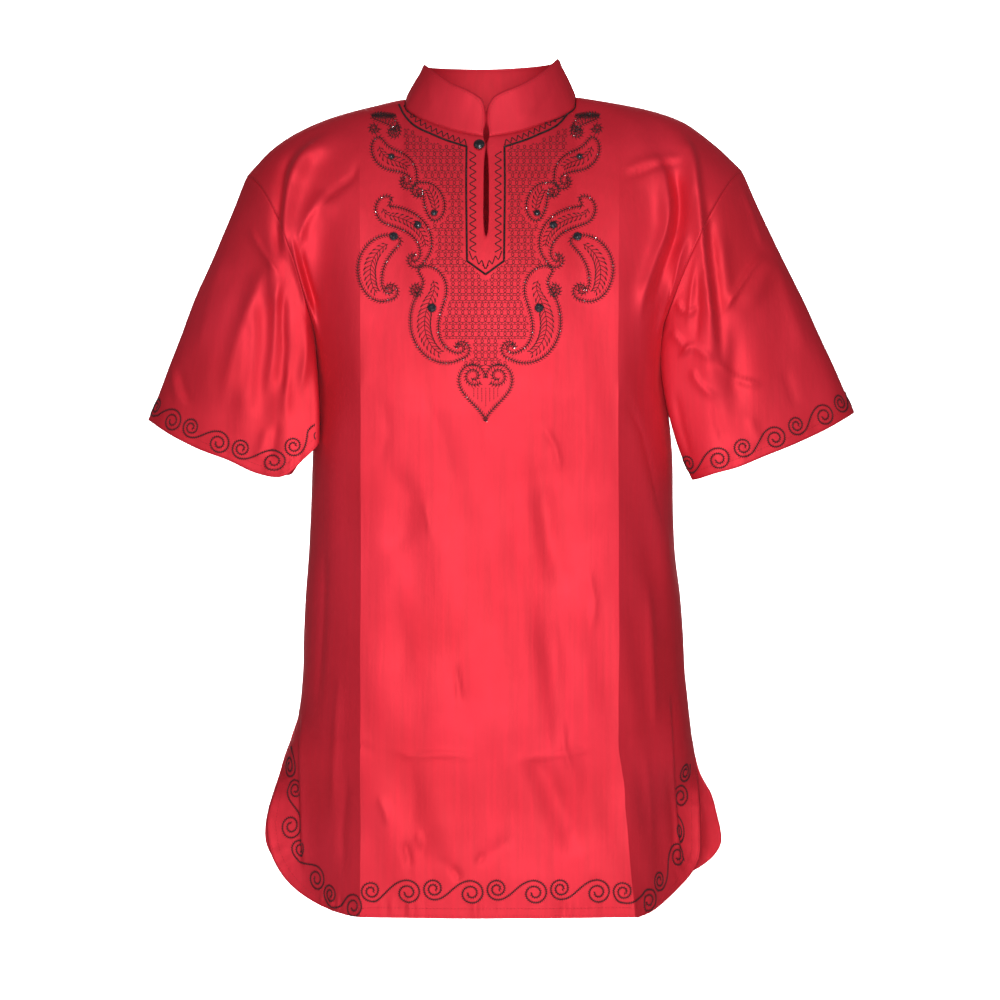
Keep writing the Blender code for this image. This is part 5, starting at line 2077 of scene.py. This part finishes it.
def hang_sweep(low):
    """A sweep of paper: floor, curve and wall."""
    n = Nodes("studio_paper")
    tone = n.blended(n.ranged(n.noise(1.5, 2.0), 0.0, 1.0), (0.86, 0.86, 0.86), (0.9, 0.9, 0.9))
    n.link(tone, n.shader.inputs["Base Color"])
    n.link(n.ranged(n.noise(3.0, 2.0), 0.85, 0.95), n.shader.inputs["Roughness"])
    n.shade({"Specular IOR Level": 0.1})
    rows = [(PAPER_FRONT, low), (PAPER_BEND, low)]
    for k in range(1, BEND_STEPS + 1):
        a = math.pi / 2 * k / BEND_STEPS
        rows.append((PAPER_BEND + PAPER_ROUND * math.sin(a),
                     low + PAPER_ROUND - PAPER_ROUND * math.cos(a)))
    rows.append((PAPER_BACK, PAPER_TOP))
    mesh = bpy.data.meshes.new("studio_sweep")
    mesh.from_pydata(
        [(x, y, z) for y, z in rows for x in (-PAPER_HALF, PAPER_HALF)], [],
        [(2 * k, 2 * k + 1, 2 * k + 3, 2 * k + 2) for k in range(len(rows) - 1)],
    )
    mesh.materials.append(n.material)
    mesh.polygons.foreach_set("use_smooth", [True] * len(mesh.polygons))
    made = into_scene("studio_sweep", mesh)


def place_lamps(stage):
    """A key lamp by the camera, one at each side and two on the backdrop."""
    side, wall = stage.fill_light, stage.backdrop_light
    # Name, place, target, power, width, height
    lamps = (
        ("key_lamp", (0.1, -3.3, 0.12), (0.0, 0.0, -0.42), stage.key_light, 0.9, 1.7),
        ("left_lamp", (-2.2, -1.6, 0.5), (0.0, 0.0, -0.4), side, 0.8, 1.8),
        ("right_lamp", (2.2, -1.2, 0.3), (0.0, 0.0, -0.4), side * 0.8, 0.8, 1.8),
        ("backdrop_lamp", (0.0, 2.8, 1.5), (0.0, 4.0, 0.6), wall, 2.6, 0.5),
        ("floor_lamp", (0.0, 2.6, -1.1), (0.0, 3.9, -0.6), wall * 0.6, 2.6, 0.4),
    )
    for name, place, target, energy, width, height in lamps:
        light = bpy.data.lights.new(name, "AREA")
        light.shape = "RECTANGLE"
        light.size, light.size_y, light.energy = width, height, energy
        lamp = into_scene(name, light)
        lamp.location = place
        way = Vector(target) - Vector(place)
        lamp.rotation_euler = way.to_track_quat("-Z", "Y").to_euler()


class SHIRT_OT_stage(bpy.types.Operator):
    """Put up the stand-in studio: floor, backdrop, lamps and camera"""

    bl_idname = "shirt.stage"
    bl_label = "Studio"

    def execute(self, context):
        stage = context.scene.shirt_stage
        hang_sweep(stage.floor_level)
        place_lamps(stage)
        world = bpy.data.worlds.new("studio_air")
        world.use_nodes = True
        back = world.node_tree.nodes["Background"]
        back.inputs["Color"].default_value = (1.0, 1.0, 1.0, 1)
        back.inputs["Strength"].default_value = stage.air
        context.scene.world = world
        context.scene.view_settings.view_transform = "Standard"
        camera = bpy.data.cameras.new("studio_camera")
        camera.lens, camera.sensor_width = LENS, SENSOR
        made = into_scene("studio_camera", camera)
        made.location = EYE * MM
        made.rotation_euler = (math.pi / 2, 0, 0)
        context.scene.camera = made
        return {"FINISHED"}


class SHIRT_PT_sewing(bpy.types.Panel):
    """The shirt's steps and settings in the sidebar"""

    bl_idname = "SHIRT_PT_sewing"
    bl_label = "Dashiki Shirt"
    bl_space_type = "VIEW_3D"
    bl_region_type = "UI"
    bl_category = "Dashiki Shirt"

    def draw(self, context):
        layout = self.layout
        for step in STEPS:
            layout.operator(step.bl_idname)
        for settings in (context.scene.shirt_sizes, context.scene.shirt_colours,
                         context.scene.shirt_stage):
            box = layout.box()
            for name in settings.__annotations__:
                box.prop(settings, name)


STEPS = (
    SHIRT_OT_panels, SHIRT_OT_sleeves, SHIRT_OT_collar, SHIRT_OT_fastening, SHIRT_OT_seams,
    SHIRT_OT_yoke, SHIRT_OT_borders, SHIRT_OT_stones, SHIRT_OT_stage,
)
GROUPS = (
    ("shirt_sizes", ShirtSizes), ("shirt_colours", ShirtColours), ("shirt_stage", ShirtStage),
)


def register():
    """Adds the settings, the steps and the panel."""
    for name, group in GROUPS:
        bpy.utils.register_class(group)
        setattr(bpy.types.Scene, name, PointerProperty(type=group))
    for step in STEPS:
        bpy.utils.register_class(step)
    bpy.utils.register_class(SHIRT_PT_sewing)


def unregister():
    """Takes them away again."""
    bpy.utils.unregister_class(SHIRT_PT_sewing)
    for step in reversed(STEPS):
        bpy.utils.unregister_class(step)
    for name, group in reversed(GROUPS):
        delattr(bpy.types.Scene, name)
        bpy.utils.unregister_class(group)


def main():
    """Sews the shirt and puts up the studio."""
    register()
    bpy.ops.shirt.panels()
    bpy.ops.shirt.sleeves()
    bpy.ops.shirt.collar()
    bpy.ops.shirt.fastening()
    bpy.ops.shirt.seams()
    bpy.ops.shirt.yoke()
    bpy.ops.shirt.borders()
    bpy.ops.shirt.stones()
    bpy.ops.shirt.stage()


if __name__ == "__main__":
    main()
